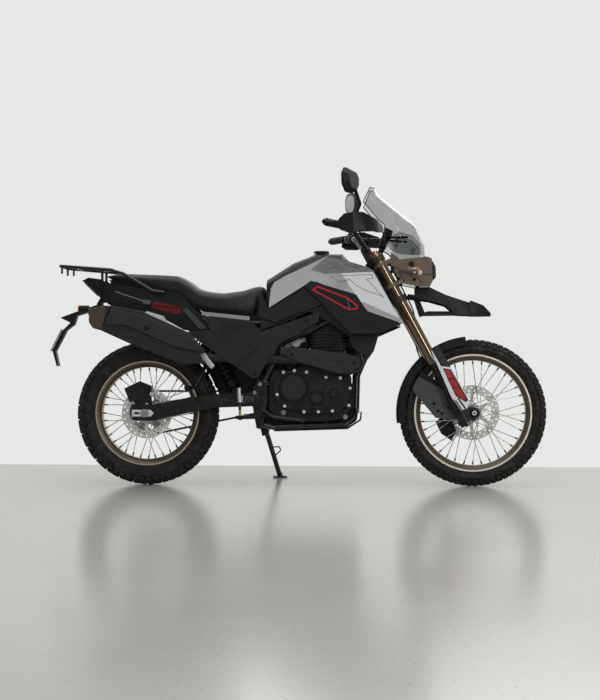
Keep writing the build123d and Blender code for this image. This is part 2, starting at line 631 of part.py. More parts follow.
CASE_RIGHT, COVER_RIGHT = -79.0, -100.0
CLUTCH, SMALL_COVER, PUMP_COVER = (646.0, 426.0), (745.0, 381.0), (815.0, 401.0)
COVER_SHAPE = [(690, 484), (768, 474), (790, 462), (841, 463), (882, 432), (887, 378), (872, 344), (789, 334),
               (705, 331), (664, 354)]
COVER_BOLTS = [(600, 492), (648, 499), (700, 493), (784, 470), (846, 468), (888, 424), (884, 350), (812, 326), (752, 322),
               (690, 322), (606, 346), (574, 396)]
with BuildPart() as engine_case:
    plate([(536, 334), (566, 296), (612, 281), (800, 281), (862, 296), (882, 326), (892.4, 360), (892.4, 470), (866, 532),
           (700, 532), (640, 500), (560, 500), (533.6, 452), (533.6, 440), (540, 430)], 50, 130)
    plate([(640, 284), (800, 284), (862, 299), (880, 326), (886, 470), (864, 530), (700, 530), (640, 498)], 80, 31)
    with BuildSketch(side(CASE_RIGHT)):
        for centre, radius in (((642, 416), 84), ((806, 396), 78), ((720, 402), 86)):
            with Locations(centre):
                Circle(radius)
        make_hull()
    extrude(amount=CASE_RIGHT - COVER_RIGHT)
    for x, z in COVER_BOLTS:
        rod((x, CASE_RIGHT, z), (x, COVER_RIGHT - 3, z), 7.5)
    with BuildSketch(side(COVER_RIGHT)) as cover:
        Polygon(*COVER_SHAPE, align=None)
        fillet(cover.vertices(), 12)
    extrude(amount=8)
    for centre, radius, height, groove in ((CLUTCH, 64, 13, 7), (SMALL_COVER, 29, 12, 4), (PUMP_COVER, 18, 12, 3)):
        with BuildSketch(side(COVER_RIGHT)):
            with Locations(centre):
                Circle(radius)
        extrude(amount=height)
        with BuildSketch(side(COVER_RIGHT - height)):
            with Locations(centre):
                Circle(radius - groove)
                Circle(radius - 2 * groove, mode=Mode.SUBTRACT)
        extrude(amount=-5, mode=Mode.SUBTRACT)
    with BuildSketch(side(108)):
        with Locations((786, 396)):
            Circle(74)
    extrude(amount=29)
    plate([(640, 300), (654, 470), (600, 470), (540, 440), (524, 380), (540, 320), (600, 296)], 104, 18)
    rod((DRIVE[0], CHAIN_Y - 3, DRIVE[1]), (DRIVE[0], CHAIN_Y + 3, DRIVE[1]), DRIVE_R - 7.5)
    rod((DRIVE[0], 49, DRIVE[1]), (DRIVE[0], CHAIN_Y + 10, DRIVE[1]), 12)
piece("engine_case", engine_case)

FIN_COUNT, FIN_PITCH, FIN_T = 9, 14.0, 4.5
HEAD_SHAPE = [(702, 660), (704, 692), (752, 722), (814, 719), (832, 694), (868, 680), (874, 660)]
with BuildPart() as cylinder:
    with BuildSketch(Plane.XY.offset(532.4)):
        with Locations((790, 0)):
            RectangleRounded(150, 126, 20)
    extrude(amount=136)
    for i in range(FIN_COUNT):
        with BuildSketch(Plane.XY.offset(546 + i * FIN_PITCH)):
            with Locations((790, 0)):
                RectangleRounded(178, 154 - abs(i - 4) * 2, 24)
        extrude(amount=FIN_T)
    plate(HEAD_SHAPE, 48, 96)
    for z in (672.0, 684.0, 696.0):
        plate([(712, z), (866 - (z - 672), z), (866 - (z - 672), z + FIN_T), (712, z + FIN_T)], 54, 108)
    rod((784, 44, 690), (784, -54, 690), 22)
    rod((850, -34, 612), (884, -34, 612), 24)
piece("cylinder", cylinder)

with BuildPart() as intake:
    rod((693, 0, 638), (590, 0, 604), 26)
    rod((652, 0, 560), (652, 0, 680), 22)
    rod((652, -52, 622), (652, 40, 622), 20)
    plate([(596, 690), (420, 690), (400, 560), (470, 520), (560, 540), (592, 574)], 60, 120)
piece("intake", intake)

PIPE_R = 19.0
PIPE_Y = -130.0
HEADER = [(888, -34, 612), (913, -36, 609), (930, -100, 524), (880, -122, 496), (690, PIPE_Y, 546), (430, PIPE_Y, 546),
          (340, PIPE_Y, 554), (270, -136, 554)]
with BuildPart() as exhaust_header:
    tube(HEADER, PIPE_R, 24)
    rod((884.4, -34, 612), (891, -34, 612), 24)
piece("exhaust_header", exhaust_header)

SILENCER_Y, SILENCER_HALF = -170.0, 42.0
with BuildPart() as silencer:
    plate([(-131, 773), (-2, 751), (171, 673), (272, 583), (247, 570), (268, 528), (172, 524), (-51, 612), (-176, 668)],
          SILENCER_Y + SILENCER_HALF, 2 * SILENCER_HALF)
    plate([(-228, 760), (-160, 775), (-132, 773), (-177, 668), (-211, 678), (-228, 704)],
          SILENCER_Y + SILENCER_HALF - 2, 2 * SILENCER_HALF - 4)
piece("silencer", silencer)

SHIELD_Y, SHIELD_T = PIPE_Y - PIPE_R - 0.6, 4.0
HEADER_SHIELD = [(592, 600), (685, 595), (872, 572), (922, 560), (935, 533), (898, 494), (842, 486), (686, 531), (588, 573)]
SHIELD_SLOT = [(700, 560), (868, 532), (884, 522), (878, 514), (858, 520), (700, 549)]
with BuildPart() as heat_shields:
    plate(HEADER_SHIELD, SHIELD_Y, SHIELD_T)
    plate(SHIELD_SLOT, SHIELD_Y - SHIELD_T + 1.5, 4, mode=Mode.SUBTRACT)
    plate([(-130, 764), (-4, 735), (210, 658), (262, 590), (240, 574), (104, 600), (-75, 686), (-161, 690)],
          SILENCER_Y - SILENCER_HALF - 0.6, 4)
    plate([(-122, 757), (-6, 729), (202, 654), (248, 594), (236, 583), (106, 609), (-72, 695), (-148, 698)],
          SILENCER_Y - SILENCER_HALF - 4.6, 2.5)
piece("heat_shields", heat_shields)

# ---------------------------------------------------------------- swingarm and drive
ARM_IN, ARM_OUT = 82.0, 106.0
with BuildPart() as swingarm:
    outline = [(-66, 318), (-58, 352), (40, 352), (140, 372), (300, 396), (470, 404), (522, 392), (526, 360), (500, 346),
               (300, 338), (120, 302), (40, 280), (-52, 282)]
    pair_of_plates(outline, ARM_IN, ARM_OUT - ARM_IN)
    rod((PIVOT[0], -104, PIVOT[1]), (PIVOT[0], 104, PIVOT[1]), 23)
    with BuildSketch(side(88)):
        Polygon((372, 356), (440, 356), (440, 394), (372, 394), align=None)
    extrude(amount=176)
    for hand in (-1, 1):
        rod((WHEELBASE * 0, hand * 80, REAR_TYRE_R), (0, hand * 110, REAR_TYRE_R), AXLE_R + FIT_GAP, mode=Mode.SUBTRACT)
    rod((PIVOT[0], -140, PIVOT[1]), (PIVOT[0], 140, PIVOT[1]), PIVOT_R + FIT_GAP, mode=Mode.SUBTRACT)
piece("swingarm", swingarm)

with BuildPart() as rear_axle:
    rod((0, -118, REAR_TYRE_R), (0, 118, REAR_TYRE_R), AXLE_R)
    for hand in (-1, 1):
        rod((0, hand * (ARM_OUT + SEAT_GAP), REAR_TYRE_R), (0, hand * 121, REAR_TYRE_R), 15)
        rod((0, hand * (44 + SEAT_GAP), REAR_TYRE_R), (0, hand * (ARM_IN - SEAT_GAP), REAR_TYRE_R), 14)
piece("rear_axle", rear_axle)

CHAIN_HALF, LINK_PITCH, LINK_NOTCH = 6.5, 15.875, 3.0
CHAIN_R = SPROCKET_R + 6
with BuildPart() as chain:
    with BuildSketch(side(CHAIN_Y + 7)):
        for outer, mode in ((CHAIN_HALF, Mode.ADD), (-CHAIN_HALF, Mode.SUBTRACT)):
            with BuildSketch(mode=Mode.PRIVATE) as loop:
                with Locations((0, REAR_TYRE_R)):
                    Circle(CHAIN_R + outer)
                with Locations(DRIVE):
                    Circle(DRIVE_R + outer)
                make_hull()
            add(loop.sketch, mode=mode)
        reach = math.hypot(DRIVE[0], DRIVE[1] - REAR_TYRE_R)
        rise = math.atan2(DRIVE[1] - REAR_TYRE_R, DRIVE[0])
        spread = math.asin((CHAIN_R - DRIVE_R) / reach)
        run = reach * math.cos(spread)
        for hand in (-1, 1):
            along = rise - hand * spread
            across = (-hand * math.sin(along), hand * math.cos(along))
            for i in range(int(run / LINK_PITCH)):
                distance, out = (i + 0.5) * LINK_PITCH, CHAIN_R + CHAIN_HALF
                notch = (
                    distance * math.cos(along) + out * across[0],
                    REAR_TYRE_R + distance * math.sin(along) + out * across[1],
                )
                with Locations(notch):
                    Rectangle(LINK_NOTCH, LINK_NOTCH, rotation=45 + math.degrees(along), mode=Mode.SUBTRACT)
    extrude(amount=14)
piece("chain", chain)

with BuildPart() as rear_shock:
    low, top = (384, 0, 408.6), (264, 0, 630)
    for eye in (low, top):
        rod((eye[0], -16, eye[2]), (eye[0], 16, eye[2]), 14)
    rod(low, between(low, top, 0.55), 13)
    rod(between(low, top, 0.5), between(low, top, 0.93), 22)
    rod(between(low, top, 0.9), top, 13)
    for i in range(7):
        rod(between(low, top, 0.16 + i * 0.095), between(low, top, 0.2 + i * 0.095), 29)
    rod(between(low, top, 0.1), between(low, top, 0.15), 31)
    rod(between(low, top, 0.81), between(low, top, 0.86), 31)
piece("rear_shock", rear_shock)

with BuildPart() as rear_caliper:
    with BuildSketch(side(-30)):
        Polygon((-98, 420), (-30, 452), (20, 432), (24, 412), (-14, 400), (-74, 362), align=None)
    extrude(amount=36)
    with BuildSketch(Plane(origin=(0, -42.5, REAR_TYRE_R), z_dir=(0, -1, 0))):
        Circle(113)
    extrude(amount=8, mode=Mode.SUBTRACT)
    plate([(-30, 330), (-70, 385), (-40, 425), (20, 418), (30, 330), (20, 290), (-20, 290)], -68, 8)
    rod((0, -60, REAR_TYRE_R), (0, -80, REAR_TYRE_R), 14.3, mode=Mode.SUBTRACT)
    rod((-40, -64, 408), (-40, -70, 408), 8)
piece("rear_caliper", rear_caliper)

# ---------------------------------------------------------------- bodywork
PIN_R = 5.0


def panel_pins(rows):
    """Mounting pins of both panels, each row (x, z, from half width, to half width)."""
    for x, z, outer, inner in rows:
        for hand in (-1, 1):
            rod((x, hand * outer, z), (x, hand * inner, z), PIN_R)


with BuildPart() as fuel_tank:
    body_of_sections([
        (524.0, 84.0, 769.0, 74.0, 872.0, 898.0),
        (640.0, 104.0, TANK_LOW, 92.0, 930.0, 972.0),
        (740.0, 110.0, 768.1, 96.0, 970.0, 1014.0),
        (850.0, 96.0, 783.1, 84.0, 972.0, 1012.0),
        (885.0, 84.0, 800.0, 62.0, 950.0, 975.0),
    ], ruled=True)
piece("fuel_tank", fuel_tank)

with BuildPart() as fuel_cap:
    with BuildSketch(Plane.XY.offset(1014.5)):
        with Locations((760, 0)):
            Circle(34)
    extrude(amount=9)
piece("fuel_cap", fuel_cap)

SHROUD_LOW = [(480, 138), (700, 160), (900, 194), (1120, 204)]
SHROUD_HIGH = [(480, 92), (700, 112), (900, 132), (1120, 156)]
with BuildPart() as tank_shrouds:
    skin(650, SHROUD_LOW, 1000, SHROUD_HIGH, 5,
         [(538, 770), (686, 862), (719, 886), (914, 825), (961, 753), (1112, 700), (990, 927), (957, 945), (861, 975),
          (787, 991), (708, 954), (612, 910), (560, 880), (545, 850)])
    panel_pins([(650, 900, 119, 88), (820, 940, 131, 80), (872, 850, 154, 76)])
piece("tank_shrouds", tank_shrouds)

with BuildPart() as shroud_wings:
    skin(650, SHROUD_LOW, 1000, SHROUD_HIGH, 5,
         [(689, 860), (719.6, 884.8), (913.3, 824.3), (960.5, 752.3), (1110.9, 699.3), (1014, 657), (892, 655), (765, 790)])
piece("shroud_wings", shroud_wings)

BACKING_Y = 113.0
BACKING = [(500, 672), (640, 722), (712, 755), (780, 718), (882, 650), (898, 601), (945, 570), (960, 547), (991, 591),
           (997, 612), (1012, 662), (900, 672), (874, 721), (770, 790), (705, 846), (600, 800), (510, 760)]
with BuildPart() as knee_panels:
    skin(650, [(480, 128), (700, 146), (900, 160), (1120, 160)], 1000, [(480, 84), (700, 106), (900, 120), (1120, 120)], 4,
         [(500, 840), (490, 735), (567, 706), (764, 786), (686, 855), (536, 764), (522, 800)])
    panel_pins([(620, 790, 121, 92), (560, 782, 117, 80)])
    pair_of_plates(BACKING, BACKING_Y, 4)

with BuildPart() as side_covers:
    skin(420, [(160, 150), (300, 156), (520, 158), (770, 158)], 760, [(160, 140), (300, 148), (520, 152), (770, 154)], 4,
         [(252, 735.8), (458.6, 712.8), (511, 667), (704, 733), (755, 748), (755, 709), (721, 691), (639, 643), (595, 621),
          (538, 543), (495, 470), (469, 466), (390, 520), (182, 664), (288, 673)])
    panel_pins([(580, 609, 154, 92), (330, 707, 150, 78)])


with BuildPart() as seat:
    body_of_sections([
        (500.0, 70.0, 760.0, 64.0, 850.0, 872.0),
        (430.0, 112.0, 736.0, 92.0, 818.0, 842.0),
        (300.0, 136.0, 748.0, 112.0, 804.0, 830.0),
        (235.0, 138.0, 770.0, 112.0, 812.0, 846.0),
        (160.0, 134.0, 824.0, 108.0, 862.0, 902.0),
        (0.0, 116.0, 862.0, 92.0, 888.0, 912.0),
        (-180.0, 66.0, 893.0, 52.0, 900.0, 911.0),
    ], ruled=True)
    for hand in (-1, 1):
        rod((400, hand * 73.8, 717.6), (400, hand * 73.8, 745), 10)
        rod((100, hand * 59.7, 799.4), (100, hand * 59.7, 845), 8)
piece("seat", seat)

with BuildPart() as seat_trim:
    skin(700, [(240, 150), (470, 154), (480, 154), (500, 154)], 760, [(240, 148), (470, 150), (480, 150), (500, 150)], 4,
         [(249, 752), (457, 731), (457, 714), (250, 737)])

with BuildPart() as side_panels:
    add(knee_panels.part)
    add(side_covers.part)
    add(seat_trim.part)
piece("side_panels", side_panels)

with BuildPart() as tail_panels:
    skin(660, [(-290, 52), (-150, 88), (60, 116), (290, 128)], 920, [(-290, 46), (-150, 72), (60, 100), (290, 118)], 4,
         [(-284, 894), (-262, 906), (-194, 896), (-186, 884), (-92, 870), (60, 840), (160, 816), (245, 742), (276, 678), (238, 678),
          (159, 770), (-15, 790), (-196, 794), (-200, 822)])
    panel_pins([(100, 786, 108, 66), (-150, 853, 74, 54)])
piece("tail_panels", tail_panels)

with BuildPart() as tail_light:
    with BuildSketch(side(38)):
        Polygon((-292, 894), (-268, 904), (-206, 894), (-206, 826), (-214, 820), align=None)
    extrude(amount=76)
piece("tail_light", tail_light)

RACK_MID, RACK_SLOPE = (-255.0, 951.5), 4.6
RACK_SIN, RACK_COS = math.sin(math.radians(RACK_SLOPE)), math.cos(math.radians(RACK_SLOPE))
RACK_HOLE_X, RACK_HOLE_Y, RACK_HOLE_R, RACK_PLATE_T = 80.0, 70.0, 3.3, 4.0
with BuildPart() as rack:
    for hand in (-1, 1):
        tube([(88, hand * 140, 834), (34, hand * 133, 842), (-96, hand * 106, 918), (-156, hand * 92, 937),
              (-380, hand * 66, 955)], 7, 20)
        rod((-200, hand * 50, 878.6), (-200, hand * 50, 942), 6)
    for x, z, half in ((-150, 937, 92), (-200, 941, 86), (-310, 949, 74), (-382, 955, 66)):
        rod((x, -half, z), (x, half, z), 6)
    for x, left in ((-376, 62), (-376, -62), (-350, 66), (-350, -66)):
        rod((x, left, 950), (x, left, 922), 4.5)
    rack_top = Plane(origin=(RACK_MID[0], 0, RACK_MID[1]), x_dir=(RACK_COS, 0, -RACK_SIN), z_dir=(RACK_SIN, 0, RACK_COS))
    with BuildSketch(rack_top):
        RectangleRounded(150, 104, 10)
        with GridLocations(RACK_HOLE_X, RACK_HOLE_Y, 2, 2):
            Circle(RACK_HOLE_R, mode=Mode.SUBTRACT)
    extrude(amount=-RACK_PLATE_T)
piece("rack", rack)

with BuildPart() as plate_holder:
    with BuildSketch(side(22)):
        Polygon((-206, 782), (-222, 790), (-324, 756), (-391, 731), (-346, 709), (-376, 679), (-424, 584), (-406, 518),
                (-398, 520), (-412, 584), (-364, 676), (-330, 702), (-318, 740), (-214, 772), align=None)
    extrude(amount=44)
    plate([(-230, 790), (-206, 782), (-205.2, 825.4), (-213.4, 819.4)], 22, 44)
    rod((-262, -96, 762), (-262, 96, 762), 6)
    for hand in (-1, 1):
        rod((-290, hand * 110, 765), (-246, hand * 110, 765), 15)
piece("plate_holder", plate_holder)

with BuildPart() as licence_plate:
    with BuildSketch(side(62)):
        Polygon((-377.2, 678), (-425.2, 583), (-427.2, 584), (-379.2, 679), align=None)
    extrude(amount=124)
piece("licence_plate", licence_plate)

with BuildPart() as inner_fender:
    with BuildSketch(wheel_plane(REAR_AXLE)):
        with BuildLine():
            Polyline(
                (-60, REAR_TYRE_R + 10), (60, REAR_TYRE_R + 10), (60, REAR_TYRE_R + 13), (-60, REAR_TYRE_R + 13),
                close=True,
            )
        make_face()
    revolve(axis=Axis(REAR_AXLE, (0, 1, 0)), revolution_arc=82)
fender_turn = Location(REAR_AXLE) * Rotation(0, -12, 0) * Location(tuple(-v for v in REAR_AXLE))
with BuildPart() as fender_and_stays:
    add(fender_turn * inner_fender.part)
    for hand in (-1, 1):
        rod((198, hand * 52, 571), (248, hand * 57, 698.2), 4)
piece("inner_fender", fender_and_stays)

with BuildPart() as footpegs:
    for hand in (-1, 1):
        tube([(506, hand * 126.6, 300), (506, hand * 146, 300), (440, hand * 150, 298), (432, hand * 182, 298)], 8, 9)
        with BuildSketch(Plane.XY.offset(292)):
            with Locations((430, hand * 205)):
                RectangleRounded(46, 84, 6)
        extrude(amount=14)
        rod((306, hand * 86.6, 610), (306, hand * 100, 610), 9)
        tube([(306, hand * 94, 614), (262, hand * 95, 520), (226, hand * 110, 440), (200, hand * 126, 420)], 8, 14)
        rod((200, hand * 126, 420), (196, hand * 214, 424), 12)
piece("footpegs", footpegs)

with BuildPart() as pedals:
    rod((514, -115.4, 330), (514, -132, 330), 9)
    tube([(514, -127, 330), (560, -132, 300), (690, -146, 286)], 6, 20)
    rod((690, -140, 286), (690, -180, 286), 9)
    plate([(416, 352), (477, 366), (477, 388), (408, 392)], -115.4, 5)
    for top, foot, radius in ((424, 352, 9), (352, 300, 6), (300, 286, 8)):
        rod((430 - top * 0.045, -128, top), (430 - foot * 0.045, -128, foot), radius)
    rod((604, 104.4, 352), (604, 132, 352), 7)
    tube([(604, 127, 352), (660, 134, 312), (700, 140, 306)], 5, 20)
    rod((700, 136, 306), (700, 176, 306), 9)
piece("pedals", pedals)

with BuildPart() as bash_plate:
    plate([(933, 322), (929, 288), (874, 253), (560, 240.6), (558, 235.6), (878, 247), (935, 285), (939, 322)], 72, 144)
piece("bash_plate", bash_plate)

# ---------------------------------------------------------------- side stand
ground = (0, -LEAN_SIN, LEAN_COS)
with BuildPart() as side_stand:
    rod(tuple(STAND_HINGE), tuple(FOOT + Vector(-3, -5, 12)), 11)
    rod(stand_point(-9), stand_point(9), 17)
    leg = FOOT - STAND_HINGE
    wire = [STAND_HINGE + leg * 0.36, Vector(566, 196, 160), Vector(570, 206, 142), STAND_HINGE + leg * 0.56]
    tube([tuple(p) for p in wire], 3, 8)
    with BuildSketch(Plane(origin=tuple(FOOT), x_dir=(1, 0, 0), z_dir=ground)):
        RectangleRounded(64, 46, 12)
    extrude(amount=7)
    with BuildSketch(Plane(origin=tuple(FOOT), x_dir=(1, 0, 0), z_dir=ground)):
        Circle(14)
    extrude(amount=22, taper=12)
    with BuildSketch(Plane(origin=tuple(FOOT), x_dir=(1, 0, 0), z_dir=ground).offset(-40)):
        Rectangle(300, 300)
    extrude(amount=40, mode=Mode.SUBTRACT)
    rod(stand_point(-40), stand_point(40), STAND_PIN_R + RUN_GAP, mode=Mode.SUBTRACT)
piece("side_stand", side_stand)

# ---------------------------------------------------------------- export
def export():
    """Leans every piece over to the stand and puts the origin at the bottom centre of the whole."""
    lean = Rotation(-LEAN, 0, 0)
    leaned = {name: lean * part for name, part in PIECES.items()}
    boxes = [part.bounding_box() for part in leaned.values()]
    low = [min(getattr(box.min, axis) for box in boxes) for axis in "XYZ"]
    high = [max(getattr(box.max, axis) for box in boxes) for axis in "XYZ"]
    shift = Location((-(low[0] + high[0]) / 2, -(low[1] + high[1]) / 2, -low[2]))
    os.makedirs("parts", exist_ok=True)
    for name, part in leaned.items():
        placed = shift * part
        placed.label = name
        export_step(placed, f"parts/{name}.step")
    print("shift", (shift.position.X, shift.position.Y, shift.position.Z))
    print("size", [h - l for l, h in zip(low, high)])


export()
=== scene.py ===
"""Finishes, soft parts and fine detail of a dual sport motorcycle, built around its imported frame.

Shapes are worked out in the machine's own upright frame, in millimetres: X forward from the rear axle, Y to the
machine's left, Z up from the ground.  Upright.place() leans them over to the side stand and moves them into the
row's frame, in metres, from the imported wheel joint.
"""

import json
import logging
import math
from dataclasses import dataclass, field, replace
from enum import Enum
from typing import Sequence

import bmesh
import bpy
import numpy as np
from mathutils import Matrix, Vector


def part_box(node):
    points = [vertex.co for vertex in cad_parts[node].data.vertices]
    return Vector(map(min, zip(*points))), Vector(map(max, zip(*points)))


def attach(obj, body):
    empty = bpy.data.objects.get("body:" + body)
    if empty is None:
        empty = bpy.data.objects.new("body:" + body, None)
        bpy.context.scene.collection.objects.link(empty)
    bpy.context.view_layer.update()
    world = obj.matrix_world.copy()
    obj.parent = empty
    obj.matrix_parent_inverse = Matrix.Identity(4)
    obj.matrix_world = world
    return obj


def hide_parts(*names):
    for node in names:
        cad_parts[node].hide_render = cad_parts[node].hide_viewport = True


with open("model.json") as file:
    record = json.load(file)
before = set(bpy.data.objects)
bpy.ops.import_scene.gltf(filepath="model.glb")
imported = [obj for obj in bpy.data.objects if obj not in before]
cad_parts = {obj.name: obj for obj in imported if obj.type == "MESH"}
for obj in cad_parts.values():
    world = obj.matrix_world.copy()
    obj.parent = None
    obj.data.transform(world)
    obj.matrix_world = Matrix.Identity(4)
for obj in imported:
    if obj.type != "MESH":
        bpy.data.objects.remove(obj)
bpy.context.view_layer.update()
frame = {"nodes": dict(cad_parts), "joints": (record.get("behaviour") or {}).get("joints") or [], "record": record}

LOG = logging.getLogger("motorcycle")
MM = 0.001
Colour = tuple[float, float, float]
Points = np.ndarray


# ---------------------------------------------------------------- the machine's frame
class Upright:
    """The machine's upright frame in millimetres and its place in the row's frame."""

    def __init__(self, wheel_joint: dict, axle_height: float) -> None:
        """Takes the place and the lean from the rear wheel's joint.

        Args:
            wheel_joint: The rear wheel's joint, whose axis points to the machine's left.
            axle_height: The rear axle's height above the ground in the upright frame.
        """
        self.axle = np.array(wheel_joint["pos_m"])
        self.left = np.array(wheel_joint["axis"]) / np.linalg.norm(wheel_joint["axis"])
        self.forward = np.array([1.0, 0.0, 0.0])
        self.up = np.cross(self.forward, self.left)
        self.axle_height = axle_height

    @property
    def lean(self) -> float:
        """How far the machine leans to its left, in radians."""
        return math.atan2(-self.left[2], self.left[1])

    @property
    def shift(self) -> tuple[float, ...]:
        """What is added to a row point, scaled to millimetres and turned upright, to give its upright point."""
        turned = np.stack([self.forward, self.left, self.up]) @ self.axle / MM
        return tuple(float(v) for v in np.array([0.0, 0.0, self.axle_height]) - turned)

    def place(self, points: Points) -> Points:
        """Upright points in millimetres as row points in metres: axle + x forward + y left + (z - axle height) up."""
        basis = np.stack([self.forward, self.left, self.up])
        return self.axle + MM * (points - np.array([0.0, 0.0, self.axle_height])) @ basis


REAR_R, FRONT_R = 313.0, 319.0
MACHINE = Upright(next(j for j in frame["joints"] if j["name"] == "rear_wheel_spin"), REAR_R)
WHEELBASE = (next(j for j in frame["joints"] if j["name"] == "front_wheel_spin")["pos_m"][0] - MACHINE.axle[0]) / MM
RAKE = math.radians(28.5)
LEG_BACK, LEG_Y = 50.0, 92.0
AHEAD, BEHIND, LEFT, RIGHT = (1, 0, 0), (-1, 0, 0), (0, 1, 0), (0, -1, 0)


def fork_points(rows: Sequence[Sequence[float]]) -> Points:
    """Points (ahead of the axle, left, up along the fork) turned back by the rake, in the upright frame.

    Args:
        rows: The points in the fork's own frame, from the front axle.

    Returns:
        The same points in the upright frame.
    """
    ahead, left, up = np.array(rows, float).T
    return np.stack(
        [
            WHEELBASE + ahead * math.cos(RAKE) - up * math.sin(RAKE),
            left,
            FRONT_R + ahead * math.sin(RAKE) + up * math.cos(RAKE),
        ],
        axis=1,
    )


# ---------------------------------------------------------------- shapes
@dataclass
class Shape:
    """Points (n, 3) in the upright frame and faces, as one index array for each number of corners."""

    points: Points
    faces: dict[int, np.ndarray] = field(default_factory=dict)

    def mirrored(self) -> "Shape":
        """The shape's twin on the machine's other side, with its faces turned round."""
        return Shape(self.points * [1, -1, 1], {n: f[:, ::-1] for n, f in self.faces.items()})

    def both_sides(self) -> "Shape":
        """The shape and its twin."""
        return joined([self, self.mirrored()])


def joined(shapes: Sequence[Shape]) -> Shape:
    """Several shapes as one.

    Args:
        shapes: The shapes, whose points keep their order.

    Returns:
        One shape with all their faces.
    """
    starts = np.cumsum([0] + [len(s.points) for s in shapes])
    sizes = {n for s in shapes for n in s.faces}
    faces = {n: np.concatenate([s.faces[n] + start for s, start in zip(shapes, starts) if n in s.faces]) for n in sizes}
    return Shape(np.concatenate([s.points for s in shapes]), faces)


def repeated(template: Shape, copies: Points) -> Shape:
    """A template's faces over copies of its points.

    Args:
        template: The shape whose faces are used.
        copies: The points of every copy, of shape (k, n, 3).

    Returns:
        All the copies as one shape.
    """
    count, size = copies.shape[:2]
    starts = (np.arange(count) * size)[:, None, None]
    faces = {n: (f[None] + starts).reshape(-1, n) for n, f in template.faces.items()}
    return Shape(copies.reshape(-1, 3), faces)


def at_each(template: Shape, origins: Points, across: Points, along: Points) -> Shape:
    """Copies of a template, each with its own x and z laid on a row of across and along, at a row of origins.

    Args:
        template: The shape that is copied.
        origins: Where each copy's origin lies.
        across: The direction of each copy's x, made square to along, or one for all.
        along: The direction of each copy's z, or one for all.

    Returns:
        All the copies as one shape.
    """
    origins = np.atleast_2d(np.array(origins, float))
    z = np.broadcast_to(np.array(along, float), origins.shape)
    x = np.broadcast_to(np.array(across, float), origins.shape)
    z = z / np.linalg.norm(z, axis=1, keepdims=True)
    x = x - z * np.sum(x * z, axis=1, keepdims=True)
    x = x / np.linalg.norm(x, axis=1, keepdims=True)
    basis = np.stack([x, np.cross(z, x), z], axis=1)
    return repeated(template, np.einsum("nj,kji->kni", template.points, basis) + origins[:, None])


def grid(points: Points, wrap_u: bool = False, wrap_v: bool = False, caps: bool = False) -> Shape:
    """A surface over a grid of points.

    Args:
        points: An array of shape (u, v, 3).
        wrap_u: Whether the last row joins the first.
        wrap_v: Whether the last column joins the first.
        caps: Whether the first and last rows are closed with one face each.

    Returns:
        The shape, of one four-sided face to each cell.
    """
    rows, columns = points.shape[:2]
    index = np.arange(rows * columns).reshape(rows, columns)
    if wrap_u:
        index = np.vstack([index, index[:1]])
    if wrap_v:
        index = np.hstack([index, index[:, :1]])
    quads = np.stack([index[:-1, :-1], index[:-1, 1:], index[1:, 1:], index[1:, :-1]], axis=-1).reshape(-1, 4)
    faces = {4: quads}
    if caps:
        ends = np.stack([index[0, :columns][::-1], index[rows - 1, :columns]])
        faces[columns] = np.concatenate([quads, ends]) if columns == 4 else ends
    return Shape(points.reshape(-1, 3), faces)


def turned(profile: Points, steps: int = 32) -> Shape:
    """A profile of (radius, height) turned about Z: x = r cos a, y = r sin a, z = height.

    Args:
        profile: The points from one end to the other.
        steps: How many steps make a full turn.

    Returns:
        The turned shape.
    """
    profile = np.array(profile, float)
    angle = np.linspace(0, 2 * math.pi, steps, endpoint=False)[:, None]
    radius, height = profile.T
    points = np.stack(
        [radius * np.cos(angle), radius * np.sin(angle), np.broadcast_to(height, (steps, len(height)))], axis=-1
    )
    return grid(points, wrap_u=True)


def swept(path: Points, section: Points, side: Sequence[float]) -> Shape:
    """A section of (across, up) carried along a path, with its across axis square to the path and near side.

    Args:
        path: The centre line, of shape (n, 3).
        section: The closed section's points, of shape (m, 2), or (n, m, 2) where it changes.
        side: A direction that the path is never along.

    Returns:
        The closed shape.
    """
    tangent = np.gradient(path, axis=0)
    tangent = tangent / np.linalg.norm(tangent, axis=1, keepdims=True)
    across = np.array(side, float) - tangent * (tangent @ np.array(side, float))[:, None]
    across = across / np.linalg.norm(across, axis=1, keepdims=True)
    up = np.cross(tangent, across)
    section = np.broadcast_to(section, (len(path),) + section.shape[-2:])
    points = path[:, None] + across[:, None] * section[..., :1] + up[:, None] * section[..., 1:]
    return grid(points, wrap_v=True, caps=True)


def ring(radius: float, sides: int = 12) -> Points:
    """A circle as a section."""
    angle = np.linspace(0, 2 * math.pi, sides, endpoint=False)
    return radius * np.stack([np.cos(angle), np.sin(angle)], axis=1)


def pipe(path: Points, radius: float, side: Sequence[float], sides: int = 14) -> Shape:
    """A round bar along a path."""
    return swept(np.array(path, float), ring(radius, sides), side)


def slab(outline: Sequence[Sequence[float]], low: float, high: float) -> Shape:
    """A side-view outline (x, z) between two places across the machine, as a closed shape.

    Args:
        outline: The outline's points.
        low: The first place across.
        high: The second place across.

    Returns:
        The closed shape.
    """
    edge = np.array(outline, float)
    layers = [np.column_stack([edge[:, 0], np.full(len(edge), y), edge[:, 1]]) for y in (low, high)]
    return grid(np.stack(layers), wrap_v=True, caps=True)


def softened(outline: Sequence[Sequence[float]], times: int = 3) -> Points:
    """An outline whose corners are cut at a quarter and three quarters of each side, times over.

    Args:
        outline: The closed outline's points.
        times: How often its corners are cut.

    Returns:
        The rounder outline.
    """
    edge = np.array(outline, float)
    for _ in range(times):
        after = np.roll(edge, -1, axis=0)
        edge = np.stack([0.75 * edge + 0.25 * after, 0.25 * edge + 0.75 * after], axis=1).reshape(-1, 2)
    return edge


